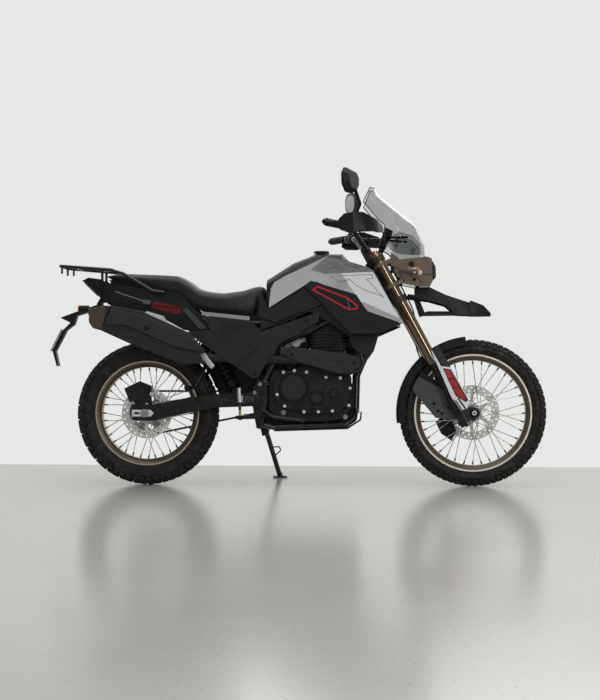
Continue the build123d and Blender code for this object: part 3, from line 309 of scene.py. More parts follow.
def rounded_box(width: float, height: float, radius: float) -> Points:
    """A rectangle with round corners, as an outline about its middle.

    Args:
        width: Its size across.
        height: Its size upwards.
        radius: The radius of its corners.

    Returns:
        The outline, corner by corner.
    """
    angle = np.radians(np.arange(0, 91, 15))
    corner = radius * np.stack([np.cos(angle), np.sin(angle)], axis=1) + [width / 2 - radius, height / 2 - radius]
    flip = np.array([[1, 1], [-1, 1], [-1, -1], [1, -1]])
    return np.concatenate([corner[:: 1 if i % 2 == 0 else -1] * flip[i] for i in range(4)])


def plaque(outline: Points, origin: Sequence[float], across: Sequence[float], up: Sequence[float], low: float,
           high: float, inset: float = 0.0) -> Shape:
    """An outline laid on a plane, with its edge sloped in by inset towards its face.

    Args:
        outline: The outline's points (across, up).
        origin: The point of the plane that the outline is about.
        across: The plane's first direction.
        up: The plane's second direction.
        low: How far the back lies from the plane, along across x up.
        high: How far the face lies from the plane.
        inset: How far the face's edge lies inside the back's.

    Returns:
        The closed shape.
    """
    across, up = (np.array(v, float) / np.linalg.norm(v) for v in (across, up))
    out = np.cross(across, up)
    reach = np.max(np.linalg.norm(outline, axis=1))
    rows = [(low, 1.0), (high - inset * 0.6, 1.0), (high, 1 - inset / reach)]
    layers = [origin + (outline @ np.stack([across, up])) * k + out * d for d, k in rows]
    return grid(np.stack(layers), wrap_v=True, caps=True)


def bolt(radius: float, height: float, sides: int = 20) -> Shape:
    """A socket bolt on its washer, standing on z = 0: the head's rim is chamfered and its socket sinks half way.

    Args:
        radius: The head's radius.
        height: How high the head stands.
        sides: How many sides it has: 6 for a hexagon.

    Returns:
        The bolt's head and washer.
    """
    r, h = radius, height
    profile = [(0, h * 0.5), (0.5 * r, h * 0.5), (0.55 * r, h), (0.86 * r, h), (r, h - 0.14 * r), (r, 0.22 * h),
               (1.5 * r, 0.22 * h), (1.5 * r, -0.6), (0, -0.6)]
    return turned(profile, sides)


def dome(radius: float, height: float, sides: int = 28) -> Shape:
    """A round lens on z = 0 with a short straight edge, then r = R cos t and z = h sin t.

    Args:
        radius: The lens's radius.
        height: How high it stands.
        sides: How many sides make it round.

    Returns:
        The lens.
    """
    t = np.radians(np.arange(0, 91, 15))
    cap = np.stack([radius * np.cos(t), height * (0.3 + 0.7 * np.sin(t))], axis=1)
    return turned(np.vstack([[0, -0.5], [radius, -0.5], cap])[::-1], sides)


def eased(x: Points, xs: Sequence[float], values: Sequence[float], reach: float) -> Points:
    """A table of straight runs, averaged over x - reach to x + reach so that its corners are round."""
    shifts = np.linspace(-reach, reach, 9)
    return np.mean([np.interp(x + shift, xs, values) for shift in shifts], axis=0)


# ---------------------------------------------------------------- meshes and pieces
MERGE, NODE_MERGE = 1e-6, 2e-6  # metres within which points are one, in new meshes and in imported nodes
FLAT_ANGLE, BEVEL_ANGLE = 0.6, 28.0  # degrees under which faces are one, and over which an edge is rounded


def mesh_of(name: str, shape: Shape) -> bpy.types.Mesh:
    """A mesh in the row's frame, its faces turned outwards.

    Args:
        name: The mesh's name.
        shape: The points and faces in the upright frame.

    Returns:
        The mesh.
    """
    mesh = bpy.data.meshes.new(name)
    faces = [row for block in shape.faces.values() for row in block.tolist()]
    mesh.from_pydata(MACHINE.place(shape.points).tolist(), [], faces)
    tidy = bmesh.new()
    tidy.from_mesh(mesh)
    bmesh.ops.remove_doubles(tidy, verts=tidy.verts, dist=MERGE)
    bmesh.ops.recalc_face_normals(tidy, faces=tidy.faces)
    tidy.to_mesh(mesh)
    tidy.free()
    return mesh


def corners_of(mesh: bpy.types.Mesh) -> Points:
    """A mesh's vertices as an array of shape (n, 3).

    Args:
        mesh: The mesh.

    Returns:
        Their places in the row's frame, in metres.
    """
    flat = np.empty(len(mesh.vertices) * 3)
    mesh.vertices.foreach_get("co", flat)
    return flat.reshape(-1, 3)


@dataclass
class Dressing:
    """What a piece rides on, its finish and how its edges are worked."""

    body: str
    finish: "Finish"
    slot: str
    replaces: tuple[str, ...] = ()
    bevel: float = 0.0
    bevel_steps: int = 2
    sharp: float = 35.0


def add_piece(name: str, mesh: bpy.types.Mesh, dress: Dressing) -> bpy.types.Object:
    """Puts a mesh into the scene as a finished piece.

    Args:
        name: The piece's name.
        mesh: Its mesh, in the row's frame.
        dress: Its body, finish, slot and edge work.

    Returns:
        The object.
    """
    thing = bpy.data.objects.new(name, mesh)
    bpy.context.scene.collection.objects.link(thing)
    mesh.shade_smooth()
    if dress.bevel:
        edge = thing.modifiers.new("edges", "BEVEL")
        edge.width = dress.bevel * MM
        edge.segments = dress.bevel_steps
        edge.limit_method = "ANGLE"
        edge.angle_limit = math.radians(BEVEL_ANGLE)
        edge.use_clamp_overlap = True
        edge.harden_normals = False
    mesh.set_sharp_from_angle(angle=math.radians(dress.sharp))
    mesh.materials.clear()
    mesh.materials.append(dress.finish.material())
    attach(thing, dress.body)
    if dress.replaces:
        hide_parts(*dress.replaces)
    LOG.info("%s: %d faces", name, len(mesh.polygons))
    return thing


def add_shape(name: str, shape: Shape, dress: Dressing) -> bpy.types.Object:
    """A shape in the upright frame as a finished piece."""
    return add_piece(name, mesh_of(name, shape), dress)


# ---------------------------------------------------------------- shader maths
class Value:
    """A shader socket that adds Math nodes when it is used in an expression."""

    def __init__(self, graph: "Graph", socket: bpy.types.NodeSocket) -> None:
        """Keeps the graph that new nodes go into, and the socket."""
        self.graph, self.socket = graph, socket

    def _math(self, operation: str, *terms: "Value | float") -> "Value":
        """A Math node of one operation over the terms."""
        return self.graph.node("ShaderNodeMath", {"operation": operation}, dict(enumerate(terms)))

    def __add__(self, other: "Value | float") -> "Value":
        """The sum."""
        return self._math("ADD", self, other)

    __radd__ = __add__

    def __sub__(self, other: "Value | float") -> "Value":
        """The difference."""
        return self._math("SUBTRACT", self, other)

    def __rsub__(self, other: float) -> "Value":
        """A number less this value."""
        return self._math("SUBTRACT", other, self)

    def __mul__(self, other: "Value | float") -> "Value":
        """The product."""
        return self._math("MULTIPLY", self, other)

    __rmul__ = __mul__

    def __pow__(self, other: float) -> "Value":
        """The power."""
        return self._math("POWER", self, other)

    def ramp(self, low: float, high: float) -> "Value":
        """Zero below low, one above high, and straight between them.

        Args:
            low: Where the result is 0. It may lie above high.
            high: Where the result is 1.

        Returns:
            The clamped result.
        """
        settings = {"clamp": True}
        sockets = {"Value": self, "From Min": low, "From Max": high, "To Min": 0.0, "To Max": 1.0}
        return self.graph.node("ShaderNodeMapRange", settings, sockets)

    def size(self) -> "Value":
        """The value without its sign."""
        return self._math("ABSOLUTE", self)

    def larger(self, other: "Value | float") -> "Value":
        """The larger of two values."""
        return self._math("MAXIMUM", self, other)


class Graph:
    """A tree of shader nodes, made by one method."""

    def __init__(self, name: str) -> None:
        """Makes a material, with its Principled shader and its Object coordinates.

        Args:
            name: The material's name.
        """
        self.material = bpy.data.materials.new(name)
        self.material.use_nodes = True
        self.tree = self.material.node_tree
        self.shader = self.tree.nodes["Principled BSDF"]
        self.place = self.node("ShaderNodeTexCoord", {}, {}, "Object")

    @classmethod
    def over(cls, tree: bpy.types.NodeTree) -> "Graph":
        """A graph over a tree that has no material, such as a world's.

        Args:
            tree: The tree that new nodes go into.

        Returns:
            The graph.
        """
        graph = cls.__new__(cls)
        graph.tree = tree
        return graph

    def node(self, kind: str, settings: dict, sockets: dict, output: str | int | None = 0) -> Value | None:
        """Adds a node.

        Args:
            kind: The node's type.
            settings: Its own properties, which are set first.
            sockets: The numbers, colours or values of its inputs, by name or number.
            output: The output that is wanted, or None for a node that has none.

        Returns:
            That output.
        """
        node = self.tree.nodes.new(kind)
        for key, setting in settings.items():
            setattr(node, key, setting)
        for key, value in sockets.items():
            self.feed(node.inputs[key], value)
        return None if output is None else Value(self, node.outputs[output])

    def feed(self, socket: bpy.types.NodeSocket, value: "Value | float | Sequence[float]") -> None:
        """Links a value to a socket, or sets the socket's own number or colour.

        Args:
            socket: The input that is fed.
            value: A value of this graph, a number, or a colour with or without its alpha.
        """
        if isinstance(value, Value):
            self.tree.links.new(value.socket, socket)
        elif isinstance(value, tuple) and len(value) == 3 and socket.type == "RGBA":
            socket.default_value = (*value, 1.0)
        else:
            socket.default_value = value

    def noise(self, size: float, detail: float = 3.0, stretch: Sequence[float] = (1, 1, 1)) -> Value:
        """Noise whose lumps are about size millimetres, drawn out along an axis by stretch."""
        where = self.node("ShaderNodeMapping", {}, {"Vector": self.place, "Scale": tuple(1 / s for s in stretch)})
        return self.node("ShaderNodeTexNoise", {}, {"Vector": where, "Scale": 1 / (size * MM), "Detail": detail}, "Fac")

    def cells(self, size: float) -> Value:
        """Distance to the nearest edge of cells of about size millimetres."""
        sockets = {"Vector": self.place, "Scale": 1 / (size * MM)}
        return self.node("ShaderNodeTexVoronoi", {"feature": "DISTANCE_TO_EDGE"}, sockets)

    def upright(self) -> tuple[Value, Value, Value]:
        """The surface's own x, y and z in the upright frame, in millimetres, as the machine rests.

        Returns:
            The three values.
        """
        turn = {"Vector": self.place, "Scale": (1 / MM,) * 3, "Rotation": (MACHINE.lean, 0.0, 0.0),
                "Location": MACHINE.shift}
        where = self.node("ShaderNodeMapping", {}, turn)
        return tuple(self.node("ShaderNodeSeparateXYZ", {}, {"Vector": where}, axis) for axis in "XYZ")

    def inside(self, points: Sequence[Sequence[float]], soft: float = 0.7) -> Value:
        """One inside a convex side-view outline: the product, over its sides, of a ramp on the distance inwards.

        Args:
            points: The outline's corners (x, z) in millimetres.
            soft: Half the width of its soft edge.

        Returns:
            The share of the area.
        """
        x, _, z = self.upright()
        corners = np.array(points, float)
        share = None
        for start, end in zip(corners, np.roll(corners, -1, axis=0)):
            along = (end - start) / np.linalg.norm(end - start)
            normal = np.array([-along[1], along[0]])
            normal = normal * np.sign(np.dot(corners.mean(axis=0) - start, normal))
            inwards = x * float(normal[0]) + z * float(normal[1]) - float(np.dot(start, normal))
            edge = inwards.ramp(-soft, soft)
            share = edge if share is None else share * edge
        return share

    def along(self, points: Sequence[Sequence[float]], width: float, soft: float = 0.5) -> Value:
        """One on a side-view line of straight runs, from how far a point lies along each run and aside of it.

        Args:
            points: The line's points (x, z) in millimetres.
            width: The line's width.
            soft: Half the width of its soft edge.

        Returns:
            The share of the line.
        """
        x, _, z = self.upright()
        rows = np.array(points, float)
        share = None
        for start, end in zip(rows, rows[1:]):
            length = float(np.linalg.norm(end - start))
            way = (end - start) / length
            aside = (x * float(-way[1]) + z * float(way[0]) - float(way[0] * start[1] - way[1] * start[0])).size()
            middle = float(np.dot((start + end) / 2, way))
            beyond = (x * float(way[0]) + z * float(way[1]) - middle).size()
            run = aside.ramp(width / 2 + soft, width / 2 - soft)
            run = run * beyond.ramp((length + width) / 2 + soft, (length + width) / 2 - soft)
            share = run if share is None else share.larger(run)
        return share

    def band(self, centre: Sequence[float], low: float, high: float, soft: float = 0.6) -> Value:
        """One between two radii about a point of the side view.

        Args:
            centre: The point (x, z) in millimetres.
            low: The inner radius.
            high: The outer radius.
            soft: Half the width of the soft edges.

        Returns:
            The share of the ring.
        """
        x, _, z = self.upright()
        radius = ((x - centre[0]) ** 2 + (z - centre[1]) ** 2) ** 0.5
        return radius.ramp(low - soft, low + soft) * radius.ramp(high + soft, high - soft)

    def mixed(self, share: Value, low: "Value | Colour", high: "Value | Colour") -> Value:
        """The colour low where share is 0 and high where it is 1."""
        return self.node("ShaderNodeMix", {"data_type": "RGBA"}, {0: share, 6: low, 7: high}, 2)

    def bump(self, height: Value, depth: float) -> Value:
        """The normal of a surface raised by height times depth millimetres."""
        return self.node("ShaderNodeBump", {}, {"Height": height, "Distance": depth * MM})

    def surface(self, **sockets: "Value | float | Sequence[float]") -> bpy.types.Material:
        """Feeds the Principled shader, with underscores for the spaces in its sockets' names.

        Args:
            **sockets: What each socket is fed.

        Returns:
            The graph's material.
        """
        for key, value in sockets.items():
            self.feed(self.shader.inputs[key.replace("_", " ")], value)
        return self.material


def srgb(red: int, green: int, blue: int) -> Colour:
    """An eight-bit display colour as a linear one."""
    parts = [c / 255 for c in (red, green, blue)]
    return tuple(c / 12.92 if c <= 0.04045 else ((c + 0.055) / 1.055) ** 2.4 for c in parts)


def shade(colour: Colour, factor: float) -> Colour:
    """A colour made lighter or darker."""
    return tuple(min(1.0, c * factor) for c in colour)


# ---------------------------------------------------------------- finishes
MOTTLE_RANGE = (0.3, 0.7)  # the noise between which the mottle goes from dark to light
DUST_SIZE = 28.0  # millimetres
DUST_RANGE = (0.42, 0.75)  # the noise between which the film of dust thickens
DUST_DULLING = 0.3  # how much rougher a full film is


class Grain(Enum):
    """The fine relief of a surface."""

    SMOOTH = "smooth"
    MOULDED = "moulded"
    CAST = "cast"
    BRUSHED = "brushed"
    HIDE = "hide"


class Mark(Enum):
    """How a patch of another colour is laid out in the side view."""

    AREA = "area"
    LINE = "line"
    RING = "ring"


@dataclass(frozen=True)
class Patch:
    """A part of a surface with its own colour, which may also be sunk as a groove.

    A ring's points are its centre and (inner radius, outer radius). Depth and width are millimetres.
    """

    mark: Mark
    points: tuple[tuple[float, float], ...]
    colour: Colour
    width: float = 3.0
    depth: float = 0.0

    def share(self, graph: Graph) -> Value:
        """Where the patch lies.

        Args:
            graph: The graph of the material that it is painted on.

        Returns:
            One inside the patch and zero outside.
        """
        if self.mark is Mark.AREA:
            return graph.inside(self.points)
        if self.mark is Mark.LINE:
            return graph.along(self.points, self.width)
        return graph.band(self.points[0], *self.points[1])


@dataclass(frozen=True)
class Finish:
    """A surface's colour, gloss and relief. Sizes and depths are millimetres."""

    name: str
    colour: Colour
    roughness: float
    grain: Grain = Grain.SMOOTH
    grain_size: float = 1.0
    grain_depth: float = 0.1
    metallic: float = 0.0
    coat: float = 0.0
    coat_roughness: float = 0.08
    specular: float = 0.5
    mottle: float = 0.12
    mottle_size: float = 45.0
    gloss_change: float = 0.06
    dust: float = 0.0
    sheen: float = 0.0
    see_through: float = 0.0
    ior: float = 1.5
    patches: tuple[Patch, ...] = ()

    def relief(self, graph: Graph) -> Value | None:
        """The height of the finish's grain in millimetres, or nothing where it is smooth.

        Args:
            graph: The material's graph.

        Returns:
            The height, or None.
        """
        if self.grain is Grain.SMOOTH:
            return None
        if self.grain is Grain.BRUSHED:
            height = graph.noise(self.grain_size, 2.0, (40, 1, 1))
        elif self.grain is Grain.HIDE:
            height = graph.cells(self.grain_size).ramp(0.0, 0.35) + graph.noise(self.grain_size * 0.6, 2.0) * 0.4
        elif self.grain is Grain.CAST:
            height = graph.noise(self.grain_size, 6.0)
        else:
            height = graph.cells(self.grain_size).ramp(0.0, 0.5) * 0.6 + graph.noise(self.grain_size * 2, 3.0) * 0.4
        return height * self.grain_depth

    def material(self) -> bpy.types.Material:
        """The finish's material, made once."""
        made = bpy.data.materials.get(self.name)
        return made or self.build()

    def build(self) -> bpy.types.Material:
        """Builds the nodes: a mottled colour, dust where it gathers, uneven gloss and the grain's relief.

        Returns:
            The material.
        """
        graph = Graph(self.name)
        lumps = graph.noise(self.mottle_size, 4.0)
        colour = graph.mixed(lumps.ramp(*MOTTLE_RANGE), shade(self.colour, 1 - self.mottle),
                             shade(self.colour, 1 + self.mottle))
        rough = (graph.noise(self.mottle_size * 0.4, 5.0) - 0.5) * (2 * self.gloss_change) + self.roughness
        if self.dust:
            film = graph.noise(DUST_SIZE, 6.0).ramp(*DUST_RANGE) * self.dust
            colour = graph.mixed(film, colour, DUST)
            rough = rough + film * DUST_DULLING
        relief = self.relief(graph)
        for patch in self.patches:
            share = patch.share(graph)
            colour = graph.mixed(share, colour, patch.colour)
            if patch.depth:
                relief = share * -patch.depth if relief is None else relief - share * patch.depth
        graph.surface(
            Base_Color=colour, Roughness=rough, Metallic=self.metallic, Coat_Weight=self.coat,
            Coat_Roughness=self.coat_roughness, Specular_IOR_Level=self.specular, Sheen_Weight=self.sheen,
            Transmission_Weight=self.see_through, IOR=self.ior,
        )
        if relief:
            graph.surface(Normal=graph.bump(relief, 1.0))
        return graph.material


DUST = srgb(122, 112, 100)
INK = srgb(20, 20, 21)
GROOVE = srgb(9, 9, 9)
SEAM = srgb(8, 8, 8)
GUARD_RED = srgb(150, 20, 32)
VENT_GREY = srgb(46, 46, 47)
SCOOP_GREY = srgb(72, 72, 74)
BRONZE_SEAM = srgb(36, 31, 26)
SCREW_GREY = srgb(120, 122, 123)
COVER_GREY = srgb(40, 40, 42)
SCUFFED = srgb(42, 38, 34)
BLACK_FRAME = Finish("gloss_black_steel", srgb(17, 17, 18), 0.26, Grain.CAST, 3.0, 0.05, coat=0.35, specular=0.35,
                     dust=0.08)
BLACK_ALLOY = Finish("black_cast_alloy", srgb(25, 25, 27), 0.38, Grain.CAST, 1.6, 0.2, metallic=0.3, specular=0.35,
                     dust=0.08)
BLACK_PLASTIC = Finish("moulded_black_plastic", srgb(13, 13, 14), 0.44, Grain.MOULDED, 0.9, 0.05, specular=0.25,
                       dust=0.03)
GREY_PLASTIC = Finish("moulded_grey_plastic", srgb(27, 28, 30), 0.4, Grain.MOULDED, 0.9, 0.05, specular=0.28, dust=0.02)
GLOSS_PLASTIC = Finish("gloss_black_plastic", srgb(12, 12, 13), 0.16, coat=0.5, mottle=0.05, specular=0.4)
SATIN_PLASTIC = Finish("satin_black_plastic", srgb(12, 12, 13), 0.3, specular=0.35, mottle=0.05)
SILVER_PAINT = Finish("silver_paint", srgb(150, 150, 149), 0.34, metallic=0.3, coat=0.6, mottle=0.03, gloss_change=0.03)
WHITE_PAINT = Finish("pearl_white_paint", srgb(208, 208, 209), 0.3, coat=0.6, mottle=0.02, gloss_change=0.03)
ALLOY = Finish("bright_alloy", srgb(196, 195, 191), 0.34, Grain.CAST, 1.2, 0.08, metallic=0.6, mottle=0.1)
STEEL = Finish("zinc_steel", srgb(196, 196, 194), 0.24, metallic=0.9, mottle=0.06)
BRIGHT_STEEL = Finish("bright_zinc_steel", srgb(232, 232, 229), 0.3, metallic=0.45, mottle=0.04)
BLACK_STEEL = Finish("black_zinc_steel", srgb(30, 30, 31), 0.3, metallic=0.6, mottle=0.1, specular=0.4)
DARK_STEEL = Finish("oiled_steel", srgb(66, 64, 61), 0.38, metallic=0.9, mottle=0.2, mottle_size=12.0, dust=0.12)
DISC_STEEL = Finish("ground_disc_steel", srgb(218, 217, 213), 0.34, Grain.BRUSHED, 0.6, 0.04, metallic=0.4, mottle=0.08)
BRONZE = Finish("bronze_anodised", srgb(118, 99, 74), 0.17, Grain.BRUSHED, 0.4, 0.006, metallic=0.95, coat=1.0,
                mottle=0.05)
BRONZE_PAINT = Finish("bronze_paint", srgb(104, 91, 77), 0.42, Grain.MOULDED, 0.8, 0.05, metallic=0.3, specular=0.35)
CLAMP_PAINT = replace(BRONZE_PAINT, name="dark_bronze_paint", colour=srgb(54, 49, 43))
RED_ANODISED = Finish("red_anodised", srgb(176, 32, 34), 0.28, metallic=0.7, coat=0.3)
RIM_PAINT = Finish("bronze_rim", srgb(92, 82, 69), 0.32, metallic=0.5, coat=0.3, mottle=0.06, dust=0.05)
TYRE_RUBBER = Finish("tyre_rubber", srgb(22, 21, 20), 0.7, Grain.CAST, 1.4, 0.12, specular=0.3, mottle=0.2, dust=0.14)
RUBBER = Finish("black_rubber", srgb(17, 17, 17), 0.6, Grain.MOULDED, 1.0, 0.08, specular=0.3)
SEAT_HIDE = Finish(
    "seat_vinyl", srgb(29, 29, 30), 0.44, Grain.HIDE, 1.4, 0.11, specular=0.35, sheen=0.08, mottle=0.08,
    mottle_size=90.0,
    patches=(
        Patch(Mark.LINE, ((-180, 902), (-106, 902), (60, 894), (145, 888), (200, 856), (226, 836), (279, 818),
                          (338, 812), (426, 826), (484, 852), (520, 874)), INK, 2.2, 1.2),
        Patch(Mark.LINE, ((196, 790), (214, 874)), INK, 2.2, 1.2),
        Patch(Mark.LINE, ((430, 740), (446, 862)), INK, 2.2, 1.0),
    ),
)
EXHAUST_BLACK = Finish("exhaust_black", srgb(30, 31, 33), 0.44, Grain.CAST, 0.8, 0.05, metallic=0.2, specular=0.35,
                       dust=0.04)
SMOKED = Finish("smoked_screen", srgb(210, 211, 210), 0.05, see_through=1.0, ior=1.12, specular=0.15, mottle=0.02,
                gloss_change=0.01)
PEDAL_STEEL = replace(
    DARK_STEEL, name="pedal_steel",
    patches=(
        Patch(Mark.AREA, ((384, 438), (426, 438), (426, 362), (384, 362)), srgb(214, 214, 210)),
        Patch(Mark.AREA, ((384, 328), (426, 328), (426, 300), (384, 300)), srgb(190, 172, 118)),
    ),
)
MIRROR_GLASS = Finish("mirror_glass", srgb(150, 153, 155), 0.03, metallic=1.0, mottle=0.01, gloss_change=0.005)
CLEAR_LENS = Finish("clear_lens", srgb(226, 230, 233), 0.06, coat=0.8, mottle=0.02, gloss_change=0.02, metallic=0.55)
AMBER_LENS = Finish("amber_lens", srgb(214, 112, 22), 0.12, Grain.MOULDED, 3.0, 0.25, coat=0.8, mottle=0.04)
RED_LENS = Finish("red_lens", srgb(138, 12, 14), 0.12, Grain.MOULDED, 4.0, 0.3, coat=0.8, mottle=0.04)
DISPLAY = Finish("dark_display", srgb(12, 14, 17), 0.08, coat=1.0, mottle=0.03, gloss_change=0.01)
DIAL_WHITE = Finish("dial_print", srgb(196, 202, 206), 0.5, mottle=0.02)
PLATE_WHITE = Finish("plate_white", srgb(196, 197, 195), 0.4, mottle=0.04, coat=0.2)

SHROUD_PAINT = replace(
    SILVER_PAINT, name="shroud_paint",
    patches=(
        # Painted shade: the darker band under the crease.
        Patch(Mark.AREA, ((722, 931), (660, 880), (690, 858), (732, 879), (880, 814), (927, 800)), srgb(108, 108, 107)),
        Patch(Mark.AREA, ((718, 934), (801, 1000), (880, 990), (1010, 925), (985, 921), (778, 914)), srgb(92, 92, 93)),
        Patch(Mark.AREA, ((778, 914), (985, 922), (1000, 919), (1116, 708), (1109, 690), (955, 757), (927, 800)),
              srgb(198, 199, 200)),
        Patch(Mark.AREA, ((938, 795), (1116, 714), (1116, 680), (962, 744)), srgb(142, 142, 142)),
        Patch(Mark.LINE, ((740, 878), (880, 819), (917, 800), (961, 749), (1110, 692)), INK, 9.0),
        Patch(Mark.LINE, ((989, 925), (1112, 704)), COVER_GREY, 7.0),
        Patch(Mark.LINE, ((801, 905), (846, 879), (885, 891), (913, 865), (950, 844), (1022, 817), (1031, 811)),
              SCOOP_GREY, 2.6),
        Patch(Mark.LINE, ((1031, 811), (959, 891), (985, 894), (985, 910), (801, 905)), SCOOP_GREY, 2.6),
        Patch(Mark.LINE, ((801, 964), (824, 945), (838, 927)), VENT_GREY, 3.0),
        Patch(Mark.LINE, ((778, 929), (806, 941), (834, 941)), VENT_GREY, 3.0),
        Patch(Mark.LINE, ((820, 966), (857, 927)), VENT_GREY, 3.0),
        Patch(Mark.LINE, ((862, 956), (927, 938)), VENT_GREY, 3.0),
    ),
)
WING_PLASTIC = replace(
    BLACK_PLASTIC, name="wing_plastic",
    patches=(
        Patch(Mark.AREA, ((738, 846), (876, 812), (918, 774), (884, 764)), srgb(10, 10, 11)),
        Patch(Mark.LINE, ((728, 847), (749, 860), (876, 810), (918, 776), (918, 764), (889, 760), (876, 764),
                          (728, 847)), srgb(168, 24, 36), 6.5),
        Patch(Mark.LINE, ((878, 803), (886, 768)), srgb(74, 76, 78), 5.0),
        Patch(Mark.LINE, ((691, 852), (876, 711), (973, 720), (1106, 683)), srgb(9, 9, 10), 3.0, 1.2),
    ),
)
KNEE_BLACK = srgb(9, 9, 11)
PANEL_PLASTIC = replace(
    GREY_PLASTIC, name="panel_plastic",
    patches=(
        Patch(Mark.AREA, ((486, 731), (567, 703), (770, 794), (690, 862), (536, 772)), KNEE_BLACK),
        Patch(Mark.AREA, ((486, 731), (536, 764), (526, 850), (496, 846)), KNEE_BLACK),
        Patch(Mark.LINE, ((480, 728), (574, 705), (759, 796)), SEAM, 4.0, 1.0),
        Patch(Mark.LINE, ((284, 670), (502, 579)), srgb(12, 12, 12), 3.0, 1.0),
        Patch(Mark.LINE, ((500, 606), (386, 498)), GROOVE, 4.0, 1.4),
        Patch(Mark.LINE, ((255, 705), (502, 648)), srgb(15, 15, 16), 3.0, 0.8),
        Patch(Mark.AREA, ((247, 753), (459, 732), (459, 712.5), (247, 736.5)), srgb(134, 135, 136)),
    ),
)
TAIL_PLASTIC = replace(
    BLACK_PLASTIC, name="tail_plastic",
    patches=(
        # Painted highlight: the light line along the edge between the upper and lower tail panels.
        Patch(Mark.LINE, ((-135, 842), (-11, 801), (20, 794)), srgb(104, 105, 106), 5.0),
        Patch(Mark.AREA, ((-16, 789), (16, 784), (24, 802), (-8, 806)), srgb(92, 93, 94)),
        Patch(Mark.AREA, ((23, 781), (43, 799), (159, 769), (150, 746), (128, 746), (78, 757), (28, 771)),
              srgb(112, 16, 22)),
        Patch(Mark.LINE, ((58, 800), (78, 765)), INK, 3.0),
        Patch(Mark.LINE, ((96, 788), (112, 745)), INK, 3.0),
        Patch(Mark.AREA, ((160, 761), (186, 771), (282, 676), (239, 676)), srgb(60, 62, 65)),
        Patch(Mark.LINE, ((182, 773), (284, 672)), SEAM, 4.0, 1.0),
    ),
)
SHIELD_BLACK = replace(
    EXHAUST_BLACK, name="shield_black", colour=srgb(38, 39, 42),
    patches=(Patch(Mark.LINE, ((-156, 688), (-58, 684), (150, 592), (246, 573)), srgb(12, 12, 13), 8.0, 2.0),),
)
CLUTCH, CRANK, POINTS = (645.0, 426.0), (744.0, 381.0), (820.0, 402.0)
CASE_ALLOY = replace(
    BLACK_ALLOY, name="case_alloy",
    patches=(
        Patch(Mark.RING, (CLUTCH, (0, 57)), srgb(42, 42, 44)),
        Patch(Mark.RING, (CLUTCH, (57, 64)), GROOVE, depth=1.0),
        Patch(Mark.RING, (CRANK, (0, 27)), COVER_GREY),
        Patch(Mark.RING, (CRANK, (27, 32)), GROOVE, depth=1.0),
        Patch(Mark.RING, (POINTS, (0, 17)), COVER_GREY),
        Patch(Mark.RING, (POINTS, (17, 20.5)), GROOVE, depth=1.0),
    ),
)
SILENCER_BLACK = replace(
    EXHAUST_BLACK, name="silencer_black",
    patches=(
        Patch(Mark.AREA, ((-260, 600), (-168, 600), (-146, 790), (-260, 790)), srgb(70, 60, 44)),
        Patch(Mark.LINE, ((-168, 640), (-149, 790)), srgb(10, 10, 10), 4.0, 1.0),
    ),
)
GUARD_PAINT = replace(
    WHITE_PAINT, name="guard_paint",
    patches=(
        Patch(Mark.AREA, ((1229, 604), (1270, 624), (1336, 515), (1278, 519)), srgb(18, 18, 19)),
        Patch(Mark.AREA, ((1284, 512), (1320, 506), (1396, 374), (1382, 366), (1340, 392)), srgb(22, 18, 19)),
        Patch(Mark.AREA, ((1291, 507), (1315, 503), (1334, 469), (1304, 466)), GUARD_RED),
        Patch(Mark.AREA, ((1306, 460), (1336, 464), (1356, 431), (1324, 430)), GUARD_RED),
        Patch(Mark.AREA, ((1328, 424), (1358, 427), (1384, 383), (1378, 374), (1346, 394)), GUARD_RED),
        Patch(Mark.LINE, ((1352, 380), (1396, 318)), srgb(24, 24, 25), 7.0),
        Patch(Mark.AREA, ((1330, 376), (1346, 372), (1376, 322), (1362, 321)), srgb(112, 113, 114)),
    ),
)
NACELLE_PAINT = replace(
    BRONZE_PAINT, name="nacelle_paint",
    patches=(
        Patch(Mark.LINE, ((1059, 957), (1109, 930), (1159, 919), (1240, 914)), BRONZE_SEAM, 3.0, 1.0),
        Patch(Mark.LINE, ((1097, 929), (1177, 904), (1197, 880)), BRONZE_SEAM, 3.0, 1.0),
        Patch(Mark.LINE, ((1099, 927), (1124, 880)), BRONZE_SEAM, 3.0, 1.0),
        Patch(Mark.RING, ((1151, 960), (0, 13)), srgb(26, 22, 18)),
    ),
)
SCREEN_SMOKE = replace(
    SMOKED, name="screen_smoke",
    patches=(
        Patch(Mark.AREA, ((1058, 1072), (1099, 1094), (1154, 1083), (1189, 1045), (1195, 1004), (1140, 992),
                          (1079, 1012)), srgb(158, 160, 161)),
        Patch(Mark.LINE, ((1045, 1066), (1099, 1094), (1154, 1083), (1189, 1045)), srgb(90, 92, 94), 2.5),
        Patch(Mark.RING, ((1088, 1062), (0, 9)), SCREW_GREY),
        Patch(Mark.RING, ((1160, 1024), (0, 9)), SCREW_GREY),
    ),
)
FENDER_PLASTIC = replace(
    BLACK_PLASTIC, name="fender_plastic",
    patches=(
        Patch(Mark.AREA, ((1196, 502), (1150, 424), (1158, 400), (1257, 296), (1350, 288), (1380, 322), (1376, 374),
                          (1302, 413), (1256, 463)), srgb(66, 67, 69)),
    ),
)
TANK_PLASTIC = replace(
    BLACK_PLASTIC, name="tank_plastic", roughness=0.34,
    patches=(
        Patch(Mark.LINE, ((640, 940), (740, 985), (850, 985)), SEAM, 3.0, 1.0),
        Patch(Mark.RING, ((760, 1014), (40, 43)), SEAM),
    ),
)


def wheel_finish(finish: Finish, name: str, centre: tuple[float, float],
                 rings: Sequence[tuple[float, float, Colour]]) -> Finish:
    """A finish with rings of other colours about a wheel's centre, each (inner radius, outer radius, colour)."""
    bands = tuple(Patch(Mark.RING, (centre, (low, high)), colour) for low, high, colour in rings)
    return replace(finish, name=name, patches=bands)


